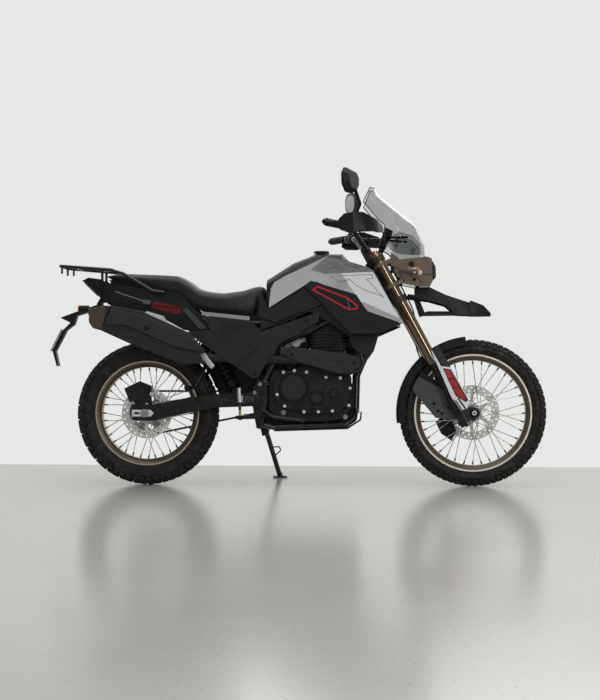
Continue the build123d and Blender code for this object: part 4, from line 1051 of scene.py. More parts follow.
FRONT_CENTRE, REAR_CENTRE = (WHEELBASE, FRONT_R), (0.0, REAR_R)
# Painted highlights: a cream line on the front rim's lip and paler bronze bands along both rims' edges, where light
# catches them.
RIM_LIP_HIGHLIGHT, RIM_BAND_HIGHLIGHT = srgb(246, 239, 222), srgb(186, 172, 151)
FRONT_RIM = wheel_finish(RIM_PAINT, "front_rim_paint_and_highlights", FRONT_CENTRE, [(247.5, 262, RIM_LIP_HIGHLIGHT), (222, 229, RIM_BAND_HIGHLIGHT)])
REAR_RIM = wheel_finish(RIM_PAINT, "rear_rim_paint_and_highlights", REAR_CENTRE, [(222, 236, RIM_BAND_HIGHLIGHT), (196, 202, RIM_BAND_HIGHLIGHT)])
FRONT_SPOKES = wheel_finish(STEEL, "front_spoke_steel", FRONT_CENTRE, [(213, 240, INK)])
REAR_SPOKES = wheel_finish(STEEL, "rear_spoke_steel", REAR_CENTRE, [(187, 214, INK)])
FRONT_TYRE = wheel_finish(TYRE_RUBBER, "front_tyre_rubber", FRONT_CENTRE, [(296, 311, SCUFFED)])
REAR_TYRE = wheel_finish(TYRE_RUBBER, "rear_tyre_rubber", REAR_CENTRE, [(288, 304, SCUFFED)])

NODE_FINISHES: dict[str, tuple[Finish, float]] = {
    "frame": (BLACK_FRAME, 1.2), "engine_case": (CASE_ALLOY, 2.4), "cylinder": (BLACK_ALLOY, 0.9),
    "intake": (ALLOY, 2.0), "exhaust_header": (EXHAUST_BLACK, 1.0), "silencer": (SILENCER_BLACK, 4.0),
    "heat_shields": (SHIELD_BLACK, 1.0), "swingarm": (BLACK_FRAME, 3.0), "rear_axle": (STEEL, 1.0),
    "rear_shock": (BLACK_ALLOY, 0.8), "rear_caliper": (BLACK_ALLOY, 1.5), "fuel_tank": (TANK_PLASTIC, 9.0),
    "fuel_cap": (BLACK_STEEL, 1.5), "tank_shrouds": (SHROUD_PAINT, 1.6), "shroud_wings": (WING_PLASTIC, 1.6),
    "side_panels": (PANEL_PLASTIC, 1.5), "tail_panels": (TAIL_PLASTIC, 1.5), "tail_light": (GLOSS_PLASTIC, 1.5),
    "rack": (BLACK_FRAME, 1.0), "plate_holder": (BLACK_PLASTIC, 1.0), "licence_plate": (PLATE_WHITE, 0.4),
    "inner_fender": (BLACK_PLASTIC, 1.0), "footpegs": (BLACK_STEEL, 1.0), "pedals": (PEDAL_STEEL, 1.0),
    "bash_plate": (BLACK_ALLOY, 1.0), "fork_tubes": (BRONZE, 1.0), "fork_legs": (BLACK_ALLOY, 1.5),
    "fork_guards": (GUARD_PAINT, 1.0), "front_axle": (BLACK_STEEL, 1.0), "fork_clamps": (CLAMP_PAINT, 2.0),
    "handlebar": (BLACK_FRAME, 0.5), "grips": (RUBBER, 0.8), "controls": (BLACK_ALLOY, 1.5),
    "mirrors": (BLACK_PLASTIC, 4.0), "hand_guards": (SATIN_PLASTIC, 1.0), "instrument": (BLACK_PLASTIC, 2.0),
    "headlight": (GLOSS_PLASTIC, 3.0), "nacelle": (NACELLE_PAINT, 1.2), "windscreen": (SCREEN_SMOKE, 0.6),
    "beak": (BLACK_PLASTIC, 1.5), "front_fender": (FENDER_PLASTIC, 1.0), "front_caliper": (BLACK_ALLOY, 2.0),
    "front_rim": (FRONT_RIM, 1.0), "front_hub": (FRONT_SPOKES, 0.5), "front_disc": (DISC_STEEL, 0.4),
    "rear_rim": (REAR_RIM, 1.0), "rear_hub": (REAR_SPOKES, 0.5), "rear_disc": (DISC_STEEL, 0.4),
    "side_stand": (BLACK_FRAME, 1.2),
}


class Softener:
    """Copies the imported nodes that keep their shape, with their edges rounded as real ones are."""

    def __init__(self, bodies: dict[str, list[str]], slots: dict[str, str]) -> None:
        """Keeps which body and which slot each node has."""
        self.body_of = {node: body for body, nodes in bodies.items() for node in nodes}
        self.slots = slots

    def copy_of(self, node: str) -> bpy.types.Mesh:
        """A node's mesh with its doubles merged and its flat faces made whole.

        Args:
            node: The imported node's name.

        Returns:
            The new mesh.
        """
        mesh = frame["nodes"][node].data.copy()
        tidy = bmesh.new()
        tidy.from_mesh(mesh)
        bmesh.ops.remove_doubles(tidy, verts=tidy.verts, dist=NODE_MERGE)
        bmesh.ops.dissolve_limit(tidy, angle_limit=math.radians(FLAT_ANGLE), verts=tidy.verts, edges=tidy.edges)
        tidy.to_mesh(mesh)
        tidy.free()
        return mesh

    def build(self, node: str, finish: Finish, width: float) -> bpy.types.Object:
        """A node's copy as a piece that stands for it.

        Args:
            node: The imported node's name.
            finish: Its finish.
            width: The width of its rounded edges.

        Returns:
            The piece.
        """
        dress = Dressing(
            self.body_of[node], finish, self.slots[node], (node,), bevel=width, bevel_steps=2 if width < 3 else 3
        )
        return add_piece(node + "_finished", self.copy_of(node), dress)


# ---------------------------------------------------------------- wheels
@dataclass
class Tyre:
    """A block-tread tyre. Widths, radii and depths are millimetres."""

    prefix: str
    body: str
    axle_x: float
    radius: float
    width: float
    rim_radius: float
    rim_width: float
    pitches: int
    rubber: Finish
    block_depth: float = 8.0
    shoulder_drop: float = 20.0
    shoulder_inset: float = 5.0
    steps: int = 180
    bead_out: float = 1.5
    bead_up: float = 5.0
    lip: tuple[float, float] = (3.5, 6.0)  # how far in and down the carcass ends inside the rim
    ribs: tuple[tuple[float, float, float], ...] = ((1.2, 0.72, 0.035), (0.8, 0.3, 0.03))  # height, share, width
    edge_drop: float = 1.4
    block_root: float = 2.0

    @property
    def shoulder(self) -> float:
        """Half the width of the tread arc."""
        return self.width / 2 - self.shoulder_inset

    @property
    def crown(self) -> float:
        """The radius of the arc across the tread, from its half width and its drop."""
        return (self.shoulder**2 + self.shoulder_drop**2) / (2 * self.shoulder_drop)

    @property
    def shoulder_angle(self) -> float:
        """The angle of the tread arc at its shoulder."""
        return math.asin(self.shoulder / self.crown)

    def arc(self, across: Points, depth: Points | float) -> tuple[Points, Points]:
        """Places depth below the tread: y = (crown - depth) sin a and r = R - crown + (crown - depth) cos a."""
        deep = self.crown - depth
        return deep * np.sin(across), self.radius - self.crown + deep * np.cos(across)

    def about_axle(self, y: Points, radius: Points, around: Points) -> Points:
        """Points of the standing wheel: x = axle + r cos a, y as it is, and z = R + r sin a."""
        y, radius, around = np.broadcast_arrays(y, radius, around)
        return np.stack([self.axle_x + radius * np.cos(around), y, self.radius + radius * np.sin(around)], axis=-1)

    def carcass(self) -> Shape:
        """The tyre without its blocks: the wall of each side is an arc from the rim to the tread's edge.

        Returns:
            The closed ring of rubber.
        """
        tread_y, tread_r = self.arc(np.linspace(-self.shoulder_angle, self.shoulder_angle, 17), self.block_depth)
        t = np.linspace(0, 1, 13)[1:]
        bead_y, bead_r = self.rim_width / 2 + self.bead_out, self.rim_radius + self.bead_up
        bulge = 4 * t * (1 - t) * (self.width / 2 - 1 - (tread_y[-1] + bead_y) / 2)
        rib = sum(height * np.exp(-(((t - share) / width) ** 2)) for height, share, width in self.ribs)
        wall_y = tread_y[-1] + (bead_y - tread_y[-1]) * t + bulge + rib
        wall_r = tread_r[-1] + (bead_r - tread_r[-1]) * t
        inner_y, inner_r = [self.rim_width / 2 - self.lip[0]], [self.rim_radius - self.lip[1]]
        y = np.concatenate([-np.array(inner_y), -wall_y[::-1], tread_y, wall_y, inner_y])
        r = np.concatenate([inner_r, wall_r[::-1], tread_r, wall_r, inner_r])
        around = np.linspace(0, 2 * math.pi, self.steps, endpoint=False)[:, None]
        return grid(self.about_axle(y, r, around), wrap_u=True, wrap_v=True)

    def blocks(self) -> Shape:
        """The tread blocks: rows of (from, to) across the arc, (start, length) in pitches, on both sides.

        Returns:
            All the blocks.
        """
        rows = [  # share of the shoulder angle from and to, start and length in pitches
            (-0.27, 0.13, 0.0, 0.42), (-0.13, 0.27, 0.5, 0.42),
            (0.36, 0.68, 0.12, 0.44), (0.32, 0.62, 0.66, 0.3),
            (0.78, 1.1, 0.0, 0.34), (0.72, 1.16, 0.48, 0.36),
            (-0.68, -0.36, 0.62, 0.44), (-0.62, -0.32, 0.16, 0.3),
            (-1.1, -0.78, 0.5, 0.34), (-1.16, -0.72, 0.98, 0.36),
        ]
        pitch = 2 * math.pi / self.pitches
        low, high, start, length = (np.array(column)[:, None, None, None] for column in zip(*rows))
        which = np.arange(self.pitches)[None, :, None, None]
        edge = np.array([-0.03, 0.02, 0.1, 0.37, 0.63, 0.9, 0.98, 1.03])
        root = self.block_depth + self.block_root
        drop = np.array([root, self.edge_drop, 0.0, 0.0, 0.0, 0.0, self.edge_drop, root])
        s, t = edge[None, None, :, None], edge[None, None, None, :]
        depth = np.maximum(drop[:, None], drop[None, :])[None, None]
        across = (low + (high - low) * s) * self.shoulder_angle
        around = (which + start + length * t) * pitch
        points = self.about_axle(*self.arc(across, depth), around)
        size = len(edge)
        template = grid(np.zeros((size, size, 3)))
        return repeated(template, points.reshape(-1, size * size, 3))

    def build(self) -> None:
        """Builds the tyre and its blocks as one piece."""
        dress = Dressing(self.body, self.rubber, "tyre", (f"{self.prefix}_tyre",), sharp=30.0)
        add_shape(self.prefix + "_tyre_tread", joined([self.carcass(), self.blocks()]), dress)


@dataclass
class DriveChain:
    """The roller chain round both sprockets."""

    rear: tuple[float, float, float] = (0.0, REAR_R, 96.0)
    front: tuple[float, float, float] = (574.0, 372.0, 38.0)
    y: float = 70.0
    links: int = 100
    plate_half: float = 5.6
    plate_thickness: float = 1.5
    plate_offsets: tuple[float, float] = (6.6, 4.4)
    waist: float = 0.72
    roller: tuple[tuple[float, float], ...] = (  # radius and place across
        (0, -8.2), (2.6, -8.2), (2.6, -4.2), (4.6, -4.2), (4.6, 4.2), (2.6, 4.2), (2.6, 8.2), (0, 8.2),
    )

    def loop(self, share: Points) -> tuple[Points, Points]:
        """Points and directions at shares of the loop's length: two tangent runs and two arcs.

        Args:
            share: Shares from 0 to 1.

        Returns:
            The points (n, 2) in the side view, and the unit directions there.
        """
        (x0, z0, r0), (x1, z1, r1) = self.rear, self.front
        apart = math.hypot(x1 - x0, z1 - z0)
        tilt = math.atan2(z1 - z0, x1 - x0)
        lean = math.acos((r0 - r1) / apart)
        run = math.sqrt(apart**2 - (r0 - r1) ** 2)
        lengths = np.array([run, 2 * lean * r1, run, (2 * math.pi - 2 * lean) * r0])
        ends = np.cumsum(lengths)
        s = share * ends[-1]
        up, down = tilt + lean, tilt - lean
        a1 = up - (s - ends[0]) / r1
        a0 = down - (s - ends[2]) / r0
        normal_up = np.array([math.cos(up), math.sin(up)])
        normal_down = np.array([math.cos(down), math.sin(down)])
        top_dir = np.array([normal_up[1], -normal_up[0]])
        low_dir = np.array([normal_down[1], -normal_down[0]])
        rear, front = np.array([x0, z0]), np.array([x1, z1])
        s = s[:, None]
        stretches = [
            (rear + normal_up * r0 + top_dir * s, np.broadcast_to(top_dir, (len(s), 2))),
            (front + r1 * np.stack([np.cos(a1), np.sin(a1)], 1), np.stack([np.sin(a1), -np.cos(a1)], 1)),
            (front + normal_down * r1 + low_dir * (s - ends[1]), np.broadcast_to(low_dir, (len(s), 2))),
            (rear + r0 * np.stack([np.cos(a0), np.sin(a0)], 1), np.stack([np.sin(a0), -np.cos(a0)], 1)),
        ]
        which = np.searchsorted(ends, s[:, 0], side="right").clip(0, 3)
        points = np.choose(which[:, None], [p for p, _ in stretches])
        return points, np.choose(which[:, None], [d for _, d in stretches])

    def plate(self, pitch: float, half: float, y: float, thickness: float) -> Shape:
        """A link plate with round ends and a waist, its x along the chain.

        Args:
            pitch: The distance between its pins.
            half: Half its height.
            y: Where its inner face lies.
            thickness: Its thickness.

        Returns:
            The closed plate.
        """
        angle = np.radians([-60, -30, 0, 30, 60])
        end = np.stack([pitch / 2 + half * np.cos(angle), half * np.sin(angle)], axis=1)
        middle = np.array([[0, half * self.waist]])
        outline = np.vstack([end, middle, end[::-1] * [-1, 1], -middle])
        layers = np.stack([np.column_stack([outline, np.full(len(outline), y + d)]) for d in (0, thickness)])
        return grid(layers, wrap_v=True, caps=True)

    def build(self) -> None:
        """Builds every link: plates outside on even links and inside on odd ones, and a roller at each pin."""
        count = self.links
        mid, heading = self.loop((np.arange(count) + 0.5) / count)
        pins, _ = self.loop(np.arange(count) / count)
        origins = np.column_stack([mid[:, 0], np.full(count, self.y), mid[:, 1]])
        across = np.column_stack([heading[:, 0], np.zeros(count), heading[:, 1]])
        pitch = float(np.linalg.norm(pins[1] - pins[0]))
        shapes = []
        for parity, offset in enumerate(self.plate_offsets):
            for hand in (1, -1):
                inner = hand * offset - (self.plate_thickness if hand < 0 else 0)
                plate = self.plate(pitch, self.plate_half, inner, self.plate_thickness)
                rows = slice(parity, None, 2)
                shapes.append(at_each(plate, origins[rows], across[rows], LEFT))
        pin_points = np.column_stack([pins[:, 0], np.full(count, self.y), pins[:, 1]])
        shapes.append(at_each(turned(self.roller, 10), pin_points, AHEAD, LEFT))
        add_shape("chain_links", joined(shapes), Dressing("frame", DARK_STEEL, "steel", ("chain",)))


# ---------------------------------------------------------------- seat
@dataclass
class Seat:
    """The stepped seat: a vinyl cover over shaped foam."""

    stations: tuple[float, ...] = (-186, -106, 60, 145, 205, 226, 279, 338, 426, 484, 520)
    tops: tuple[float, ...] = (912, 917, 910, 905, 872, 850, 836, 830, 843, 870, 892)
    lows: tuple[float, ...] = (900, 893, 846, 828, 782, 768, 748, 742, 734, 746, 775)
    halves: tuple[float, ...] = (54, 84, 124, 134, 138, 138, 137, 134, 112, 88, 72)
    slices: int = 150
    sides: int = 96
    squareness: float = 5.0
    end_sharpness: int = 18
    easing: tuple[float, float, float] = (16.0, 14.0, 24.0)  # of the tops, the lows and the halves
    foot: tuple[float, float] = (0.9, 0.1)  # share of the width at the foot, and what the top adds
    end: tuple[float, float] = (0.6, 0.4)  # share of the width at an end, and what the middle adds
    crown: tuple[float, float] = (10.0, 6.0)  # rise of the middle line, and how far the edges sit down
    pressure: float = 4.0
    growth: float = 0.012
    voxel: float = 6.0
    reach: float = 4.0
    steps: int = 20

    def section(self, x: Points) -> tuple[Points, Points, Points]:
        """The top height, bottom height and half width at each station.

        Args:
            x: The stations.

        Returns:
            The three rows.
        """
        return (
            eased(x, self.stations, self.tops, self.easing[0]),
            eased(x, self.stations, self.lows, self.easing[1]),
            eased(x, self.stations, self.halves, self.easing[2]),
        )

    def build(self) -> None:
        """Builds the cover: each section is a squared circle, narrower at the foot, dished a little under the rider."""
        x = np.linspace(self.stations[0] + 1, self.stations[-1] - 1, self.slices)
        angle = np.linspace(0, 2 * math.pi, self.sides, endpoint=False)
        top, low, half = (row[:, None] for row in self.section(x))
        share = np.clip(np.abs(np.linspace(-1, 1, self.slices)) * 1.02 - 0.02, 0, 1)
        ends = np.sqrt(1 - share**self.end_sharpness)[:, None]
        squared = 2 / self.squareness
        c = np.sign(np.cos(angle)) * np.abs(np.cos(angle)) ** squared
        s = np.sign(np.sin(angle)) * np.abs(np.sin(angle)) ** squared
        rise = (s + 1) / 2
        y = half * c * (self.foot[0] + self.foot[1] * rise) * (self.end[0] + self.end[1] * ends)
        crown = self.crown[0] * (1 - (y / half) ** 2) - self.crown[1]
        z = low + (top - low) * rise + np.where(s > 0.5, crown, 0) * ends
        z = (top + low) / 2 + (z - (top + low) / 2) * ends
        points = np.stack([np.broadcast_to(x[:, None], y.shape), y, z], axis=-1)
        cover = add_shape(
            "seat_cover", grid(points, wrap_v=True, caps=True),
            Dressing("frame", SEAT_HIDE, "seat", ("seat",), sharp=180.0),
        )
        self.stretch(cover)

    def stretch(self, cover: bpy.types.Object) -> None:
        """Swells the cover over its foam as cloth, then lets no point lie further than reach from where it began.

        Args:
            cover: The cover, whose mesh is exchanged for the stretched one.
        """
        remesh = cover.modifiers.new("weave", "REMESH")
        remesh.mode = "VOXEL"
        remesh.voxel_size = self.voxel * MM
        self.settle(cover)
        start = corners_of(cover.data)
        cloth = cover.modifiers.new("cloth", "CLOTH")
        cloth.settings.use_pressure = True
        cloth.settings.uniform_pressure_force = self.pressure
        cloth.settings.effector_weights.gravity = 0.0
        cloth.settings.shrink_min = -self.growth
        cloth.point_cache.frame_end = self.steps
        for step in range(1, self.steps + 1):
            bpy.context.scene.frame_set(step)
        self.settle(cover)
        bpy.context.scene.frame_set(1)
        move = corners_of(cover.data) - start
        far = np.maximum(np.linalg.norm(move, axis=1, keepdims=True), 1e-9)
        move = move * np.minimum(1.0, self.reach * MM / far)
        cover.data.vertices.foreach_set("co", (start + move).ravel())
        round_off = cover.modifiers.new("round", "SUBSURF")
        round_off.levels = round_off.render_levels = 1
        self.settle(cover)
        cover.data.shade_smooth()

    def settle(self, thing: bpy.types.Object) -> None:
        """Exchanges an object's mesh for what its modifiers make of it, and takes them off.

        Args:
            thing: The object.
        """
        shown = bpy.data.meshes.new_from_object(thing.evaluated_get(bpy.context.evaluated_depsgraph_get()))
        thing.modifiers.clear()
        thing.data = shown


# ---------------------------------------------------------------- small parts
@dataclass(frozen=True)
class Fasteners:
    """A set of like bolts at side-view places (x, z), all standing on one plane across the machine."""

    name: str
    body: str
    finish: Finish
    slot: str
    y: float
    places: tuple[tuple[float, float], ...]
    radius: float = 5.0
    height: float = 4.0
    both: bool = False
    sides: int = 20

    def build(self) -> None:
        """Builds the bolts as one piece, pointing away from the machine's middle."""
        rows = np.array([(x, self.y, z) for x, z in self.places])
        shape = at_each(bolt(self.radius, self.height, self.sides), rows, AHEAD, LEFT if self.y > 0 else RIGHT)
        add_shape(self.name, shape.both_sides() if self.both else shape, Dressing(self.body, self.finish, self.slot))


FASTENERS = (
    Fasteners("cover_bolts", "frame", BRIGHT_STEEL, "steel", -103.0, (
        (600, 492), (648, 499), (700, 493), (784, 470), (846, 468), (888, 424), (884, 350), (812, 326), (752, 322),
        (690, 322), (606, 346), (574, 396)), 4.6, 5.0),
    Fasteners("engine_mount_bolts", "frame", STEEL, "steel", -80.0, ((586, 430), (868, 300), (600, 318)), 7.5, 7.0,
              sides=6),
    Fasteners("panel_bolts", "frame", BLACK_STEEL, "black_plastic", -153.8, ((700, 714),), 6.0, 3.0),
    Fasteners("side_cover_bolts", "frame", BLACK_STEEL, "black_plastic", -156.4, ((482, 486),), 6.0, 3.0, both=True),
    Fasteners("silencer_bolt", "frame", BLACK_STEEL, "steel", -219.1, ((23, 677),), 8.5, 5.0),
    Fasteners("header_shield_bolts", "frame", BLACK_STEEL, "steel", -153.6, ((640, 566), (906, 532)), 5.0, 3.5),
    Fasteners("nacelle_bolts", "fork", BLACK_STEEL, "steel", -89.5, ((1069, 942), (1095, 897), (1164, 894)), 5.5, 3.5,
              both=True),
    Fasteners("nacelle_ring_bolts", "fork", BRIGHT_STEEL, "steel", -89.5, ((1188, 924),), 7.0, 4.0, both=True),
    Fasteners("fender_bolts", "fork", BLACK_STEEL, "steel", -64.6,
              ((1250, 359), (1267, 327), (1285, 316), (1314, 342)), 4.6, 3.0),
    Fasteners("fender_bolts_left", "fork", BLACK_STEEL, "steel", 64.6, ((1250, 368), (1267, 336), (1300, 336)), 4.6,
              3.0),
    Fasteners("rear_caliper_bolts", "frame", BRIGHT_STEEL, "steel", -76.0, ((24, 396), (4, 350)), 5.5, 4.0, sides=6),
    Fasteners("stand_bracket_bolts", "frame", STEEL, "steel", 115.0, ((478, 404), (500, 440), (498, 258)), 6.0, 6.0,
              sides=6),
    Fasteners("bracket_bolts", "frame", STEEL, "steel", -115.0, ((478, 404), (500, 440)), 6.0, 6.0, sides=6),
)


@dataclass
class ArmsStarterAndShadeFill:
    """The beak strut's arm, the starter motor, and dark slabs between the frame's tubes: painted shade where only shade
    shows between the parts, and in part the gear case's dark top.
    """

    arm_span: tuple[float, float] = (53.0, 61.0)
    edge: float = 3.0
    starter_place: tuple[float, float, float] = (628, 0, 524)
    # Painted shade: dark slabs that close the gaps where only shade shows between the engine, frame and bodywork.
    shade_fill: tuple[tuple[float, tuple[tuple[float, float], ...]], ...] = (  # half width, side-view outline
        (24.0, ((566, 640), (600, 712), (690, 770), (742, 762), (742, 700), (716, 600), (640, 560), (570, 560))),
        (10.0, ((862, 700), (930, 650), (944, 560), (916, 500), (868, 512), (866, 600))),
        (64.0, ((440, 742), (452, 690), (520, 655), (566, 700), (536, 760), (500, 778))),
        (40.0, ((530, 336), (606, 314), (798, 314), (874, 337), (874, 446), (904, 446), (902, 300), (865, 264),
                (560, 256), (522, 270))),
        (40.0, ((548, 496), (562, 534), (692, 534), (700, 484), (560, 484))),
    )

    def build(self) -> None:
        """Builds the arms, the dark slabs of painted shade and the starter motor."""
        arm = slab([(1162, 824), (1184, 818), (1209, 755), (1189, 740)], *self.arm_span).both_sides()
        add_shape("beak_arms", arm, Dressing("fork", BLACK_PLASTIC, "black_plastic", bevel=1.0))
        shade_fill = joined([slab(outline, -half, half) for half, outline in self.shade_fill])
        add_shape("inner_shade_fill", shade_fill, Dressing("frame", BLACK_PLASTIC, "black_plastic", bevel=self.edge))
        motor = turned([(0, -58), (20, -58), (24, -54), (24, -20), (27, -18), (27, 34), (23, 38), (0, 38)], 32)
        starter = at_each(motor, [self.starter_place], AHEAD, LEFT)
        add_shape("starter_motor", starter, Dressing("frame", BLACK_ALLOY, "engine"))


@dataclass
class TailLinings:
    """The tail's lower side panels, the seat's base above them and the plate beside the shock."""

    panel_inner: float = 0.88  # share of the half width
    panel_x: tuple[float, ...] = (-290, -150, 60, 290)
    panel_half: tuple[float, ...] = (46, 76, 103, 118)
    base_x: tuple[float, ...] = (-172, 64)
    base_half: tuple[float, ...] = (42, 80)
    liner_radius: float = 318.0
    liner_span: tuple[float, float] = (34.0, 39.0)
    edge: float = 2.0

    def widened(self, outline: Sequence[Sequence[float]], low: float, high: float, xs: Sequence[float],
                halves: Sequence[float]) -> Shape:
        """A slab whose places across are shares of a half width that changes along the machine.

        Args:
            outline: The side-view outline (x, z).
            low: The first share of the half width.
            high: The second share.
            xs: Places along the machine.
            halves: The half width at each place.

        Returns:
            The closed shape.
        """
        shape = slab(outline, low, high)
        shape.points[:, 1] *= np.interp(shape.points[:, 0], xs, halves)
        return shape

    def build(self) -> None:
        """Builds the side panels, the seat's base and the plate, whose rear edge is an arc about the rear axle."""
        outline = [(-163, 801), (-93, 796), (58, 793), (158, 786), (228, 741), (279, 676), (224, 668), (169, 674),
                   (99, 712),
                   (-2, 747), (-72, 756), (-158, 776)]
        panel = self.widened(outline, -1.0, -self.panel_inner, self.panel_x, self.panel_half).both_sides()
        add_shape("tail_underside", panel, Dressing("frame", TAIL_PLASTIC, "black_plastic", bevel=self.edge))
        outline = [(-150, 864), (-172, 896), (-60, 892), (20, 876), (64, 856), (64, 834), (-92, 864)]
        base = self.widened(outline, -1.0, 1.0, self.base_x, self.base_half)
        add_shape("seat_base", base, Dressing("frame", BLACK_PLASTIC, "black_plastic", bevel=self.edge))
        t = np.radians(np.linspace(15, 52, 9))
        arc = np.stack([self.liner_radius * np.cos(t), REAR_R + self.liner_radius * np.sin(t)], axis=1)
        ahead = [(240, 640), (330, 650), (420, 600), (498, 472), (470, 414), (461, 395)]
        liner = slab(np.vstack([arc, ahead]), *self.liner_span)
        add_shape("shock_liner", liner, Dressing("frame", BLACK_PLASTIC, "black_plastic", bevel=1.0))


@dataclass
class AxleEnds:
    """The adjusters on the swingarm's ends and the caps of the front axle. Places across are the right side's."""

    plate_span: tuple[float, float] = (-106.3, -109.6)
    slot_span: tuple[float, float] = (-109.2, -109.9)
    block_span: tuple[float, float] = (-96.0, -108.0)
    nut_radius: float = 13.5
    nut_height: float = 13.0
    cap_lap: float = 2.0
    pinch_places: tuple[tuple[float, float, float], ...] = ((-30, -116, -26), (-44, -116, -26))

    def adjusters(self) -> None:
        """Silver plates with a slot, a marked edge and the axle's nut, and the blocks behind them."""
        edge = [(-56, 299), (26, 299), (40, 313), (26, 328), (-56, 328)]
        slot = softened([(-48, 309), (-22, 309), (-22, 318), (-48, 318)], 2)
        plate = slab(edge, *self.plate_span).both_sides()
        add_shape("axle_adjusters", plate, Dressing("frame", BRIGHT_STEEL, "steel", bevel=0.6))
        add_shape("adjuster_slots", slab(slot, *self.slot_span).both_sides(), Dressing("frame", BLACK_STEEL, "steel"))
        nut = at_each(bolt(self.nut_radius, self.nut_height, 6), [(0, self.plate_span[1], REAR_R)], AHEAD, RIGHT)
        add_shape("axle_nut", nut, Dressing("frame", STEEL, "steel"))
        block = slab([(-62, 305), (-66, 313), (-62, 321), (-50, 321), (-50, 305)], *self.block_span).both_sides()
        add_shape("adjuster_blocks", block, Dressing("frame", DARK_STEEL, "steel", bevel=0.8))

    def caps(self) -> None:
        """A bright stepped cap on the end of the front axle and the pinch bolts below it."""
        low, high = (np.array(corner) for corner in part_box("front_axle"))
        reach = abs(float((high - low)[1])) / 2 / MM
        cap = turned([(0, 0.6), (4.5, 0.6), (5, 2.4), (8.6, 2.4), (9.6, 1.6), (9.6, -3), (0, -3)], 28)
        shape = at_each(cap, [(WHEELBASE, -reach + self.cap_lap, FRONT_R)], AHEAD, RIGHT)
        add_shape("axle_cap", shape, Dressing("fork", BRIGHT_STEEL, "steel"))
        pinch = at_each(bolt(4.2, 5.0), fork_points(self.pinch_places), AHEAD, RIGHT)
        add_shape("pinch_bolts", pinch.both_sides(), Dressing("fork", STEEL, "steel"))

    def build(self) -> None:
        """Builds the rear axle's adjusters and the front axle's caps."""
        self.adjusters()
        self.caps()


@dataclass
class ForkCaps:
    """Red adjuster caps on the fork's tops."""

    profile: tuple[tuple[float, float], ...] = (
        (0, 9), (6, 9), (6.5, 6), (12, 6), (13, 5), (18, 4), (19, 2), (19, -1.5), (0, -1.5),
    )
    steps: int = 28

    def leg_top(self) -> float:
        """How far up the fork's tubes reach from the axle: the largest share of any corner along the leg.

        Returns:
            The height along the fork, in millimetres.
        """
        corners = corners_of(frame["nodes"]["fork_tubes"].data)
        axis = MACHINE.place(fork_points([(0, 0, 0), (0, 0, 1)]))
        way = (axis[1] - axis[0]) / np.linalg.norm(axis[1] - axis[0])
        return float(np.max((corners - axis[0]) @ way)) / MM

    def build(self) -> None:
        """Builds a cap on each tube's end, in line with the fork."""
        top = fork_points([(-LEG_BACK, -LEG_Y, 0), (-LEG_BACK, -LEG_Y, 1)])
        origin = fork_points([(-LEG_BACK, -LEG_Y, self.leg_top())])
        shape = at_each(turned(self.profile, self.steps), origin, LEFT, top[1] - top[0]).both_sides()
        add_shape("fork_caps", shape, Dressing("fork", RED_ANODISED, "bronze"))


@dataclass
class Mirrors:
    """The mirrors' glasses and the rubber boots of their stalks."""

    middle: tuple[float, float, float] = (880, 385, 1281.0)
    toe_in: float = 22.0
    glass_share: float = 0.84
    glass_lift: float = 0.8
    glass_slope: float = 1.5
    stalk_foot: tuple[float, float, float] = (885.7, -250.9, 1124)
    stalk_way: tuple[float, float, float] = (18, -5, 24)
    outline: tuple[tuple[float, float], ...] = (
        (-62, -22), (-34, -50), (28, -50), (64, -20), (68, 24), (44, 50), (-28, 48), (-62, 22),
    )

    def build(self) -> None:
        """Builds a glass in each mirror, toed in, with a dark edge, and a boot on each stalk's foot."""
        outline = softened(self.outline) * self.glass_share
        toe = math.radians(self.toe_in)
        x, y, z = self.middle
        glasses = []
        for hand in (-1, 1):
            out = np.array([-math.sin(toe), hand * math.cos(toe), 0])
            facing = np.array([-math.cos(toe), -hand * math.sin(toe), 0])
            up = np.cross(facing, out)
            face = outline * [1, math.copysign(1, up[2])]
            origin = np.array([x, hand * y, z])
            glasses.append(plaque(face, origin, out, up, -self.glass_lift, self.glass_lift, self.glass_slope))
        add_shape("mirror_glass", joined(glasses), Dressing("fork", MIRROR_GLASS, "black_plastic", bevel=0.3))
        boot = turned([(0, 12), (8.6, 12), (9, 8), (11, 6), (11, 0), (13.5, -2), (13.5, -9), (0, -9)], 24)
        feet = at_each(boot, [self.stalk_foot], AHEAD, self.stalk_way).both_sides()
        add_shape("mirror_boots", feet, Dressing("fork", RUBBER, "black_plastic"))


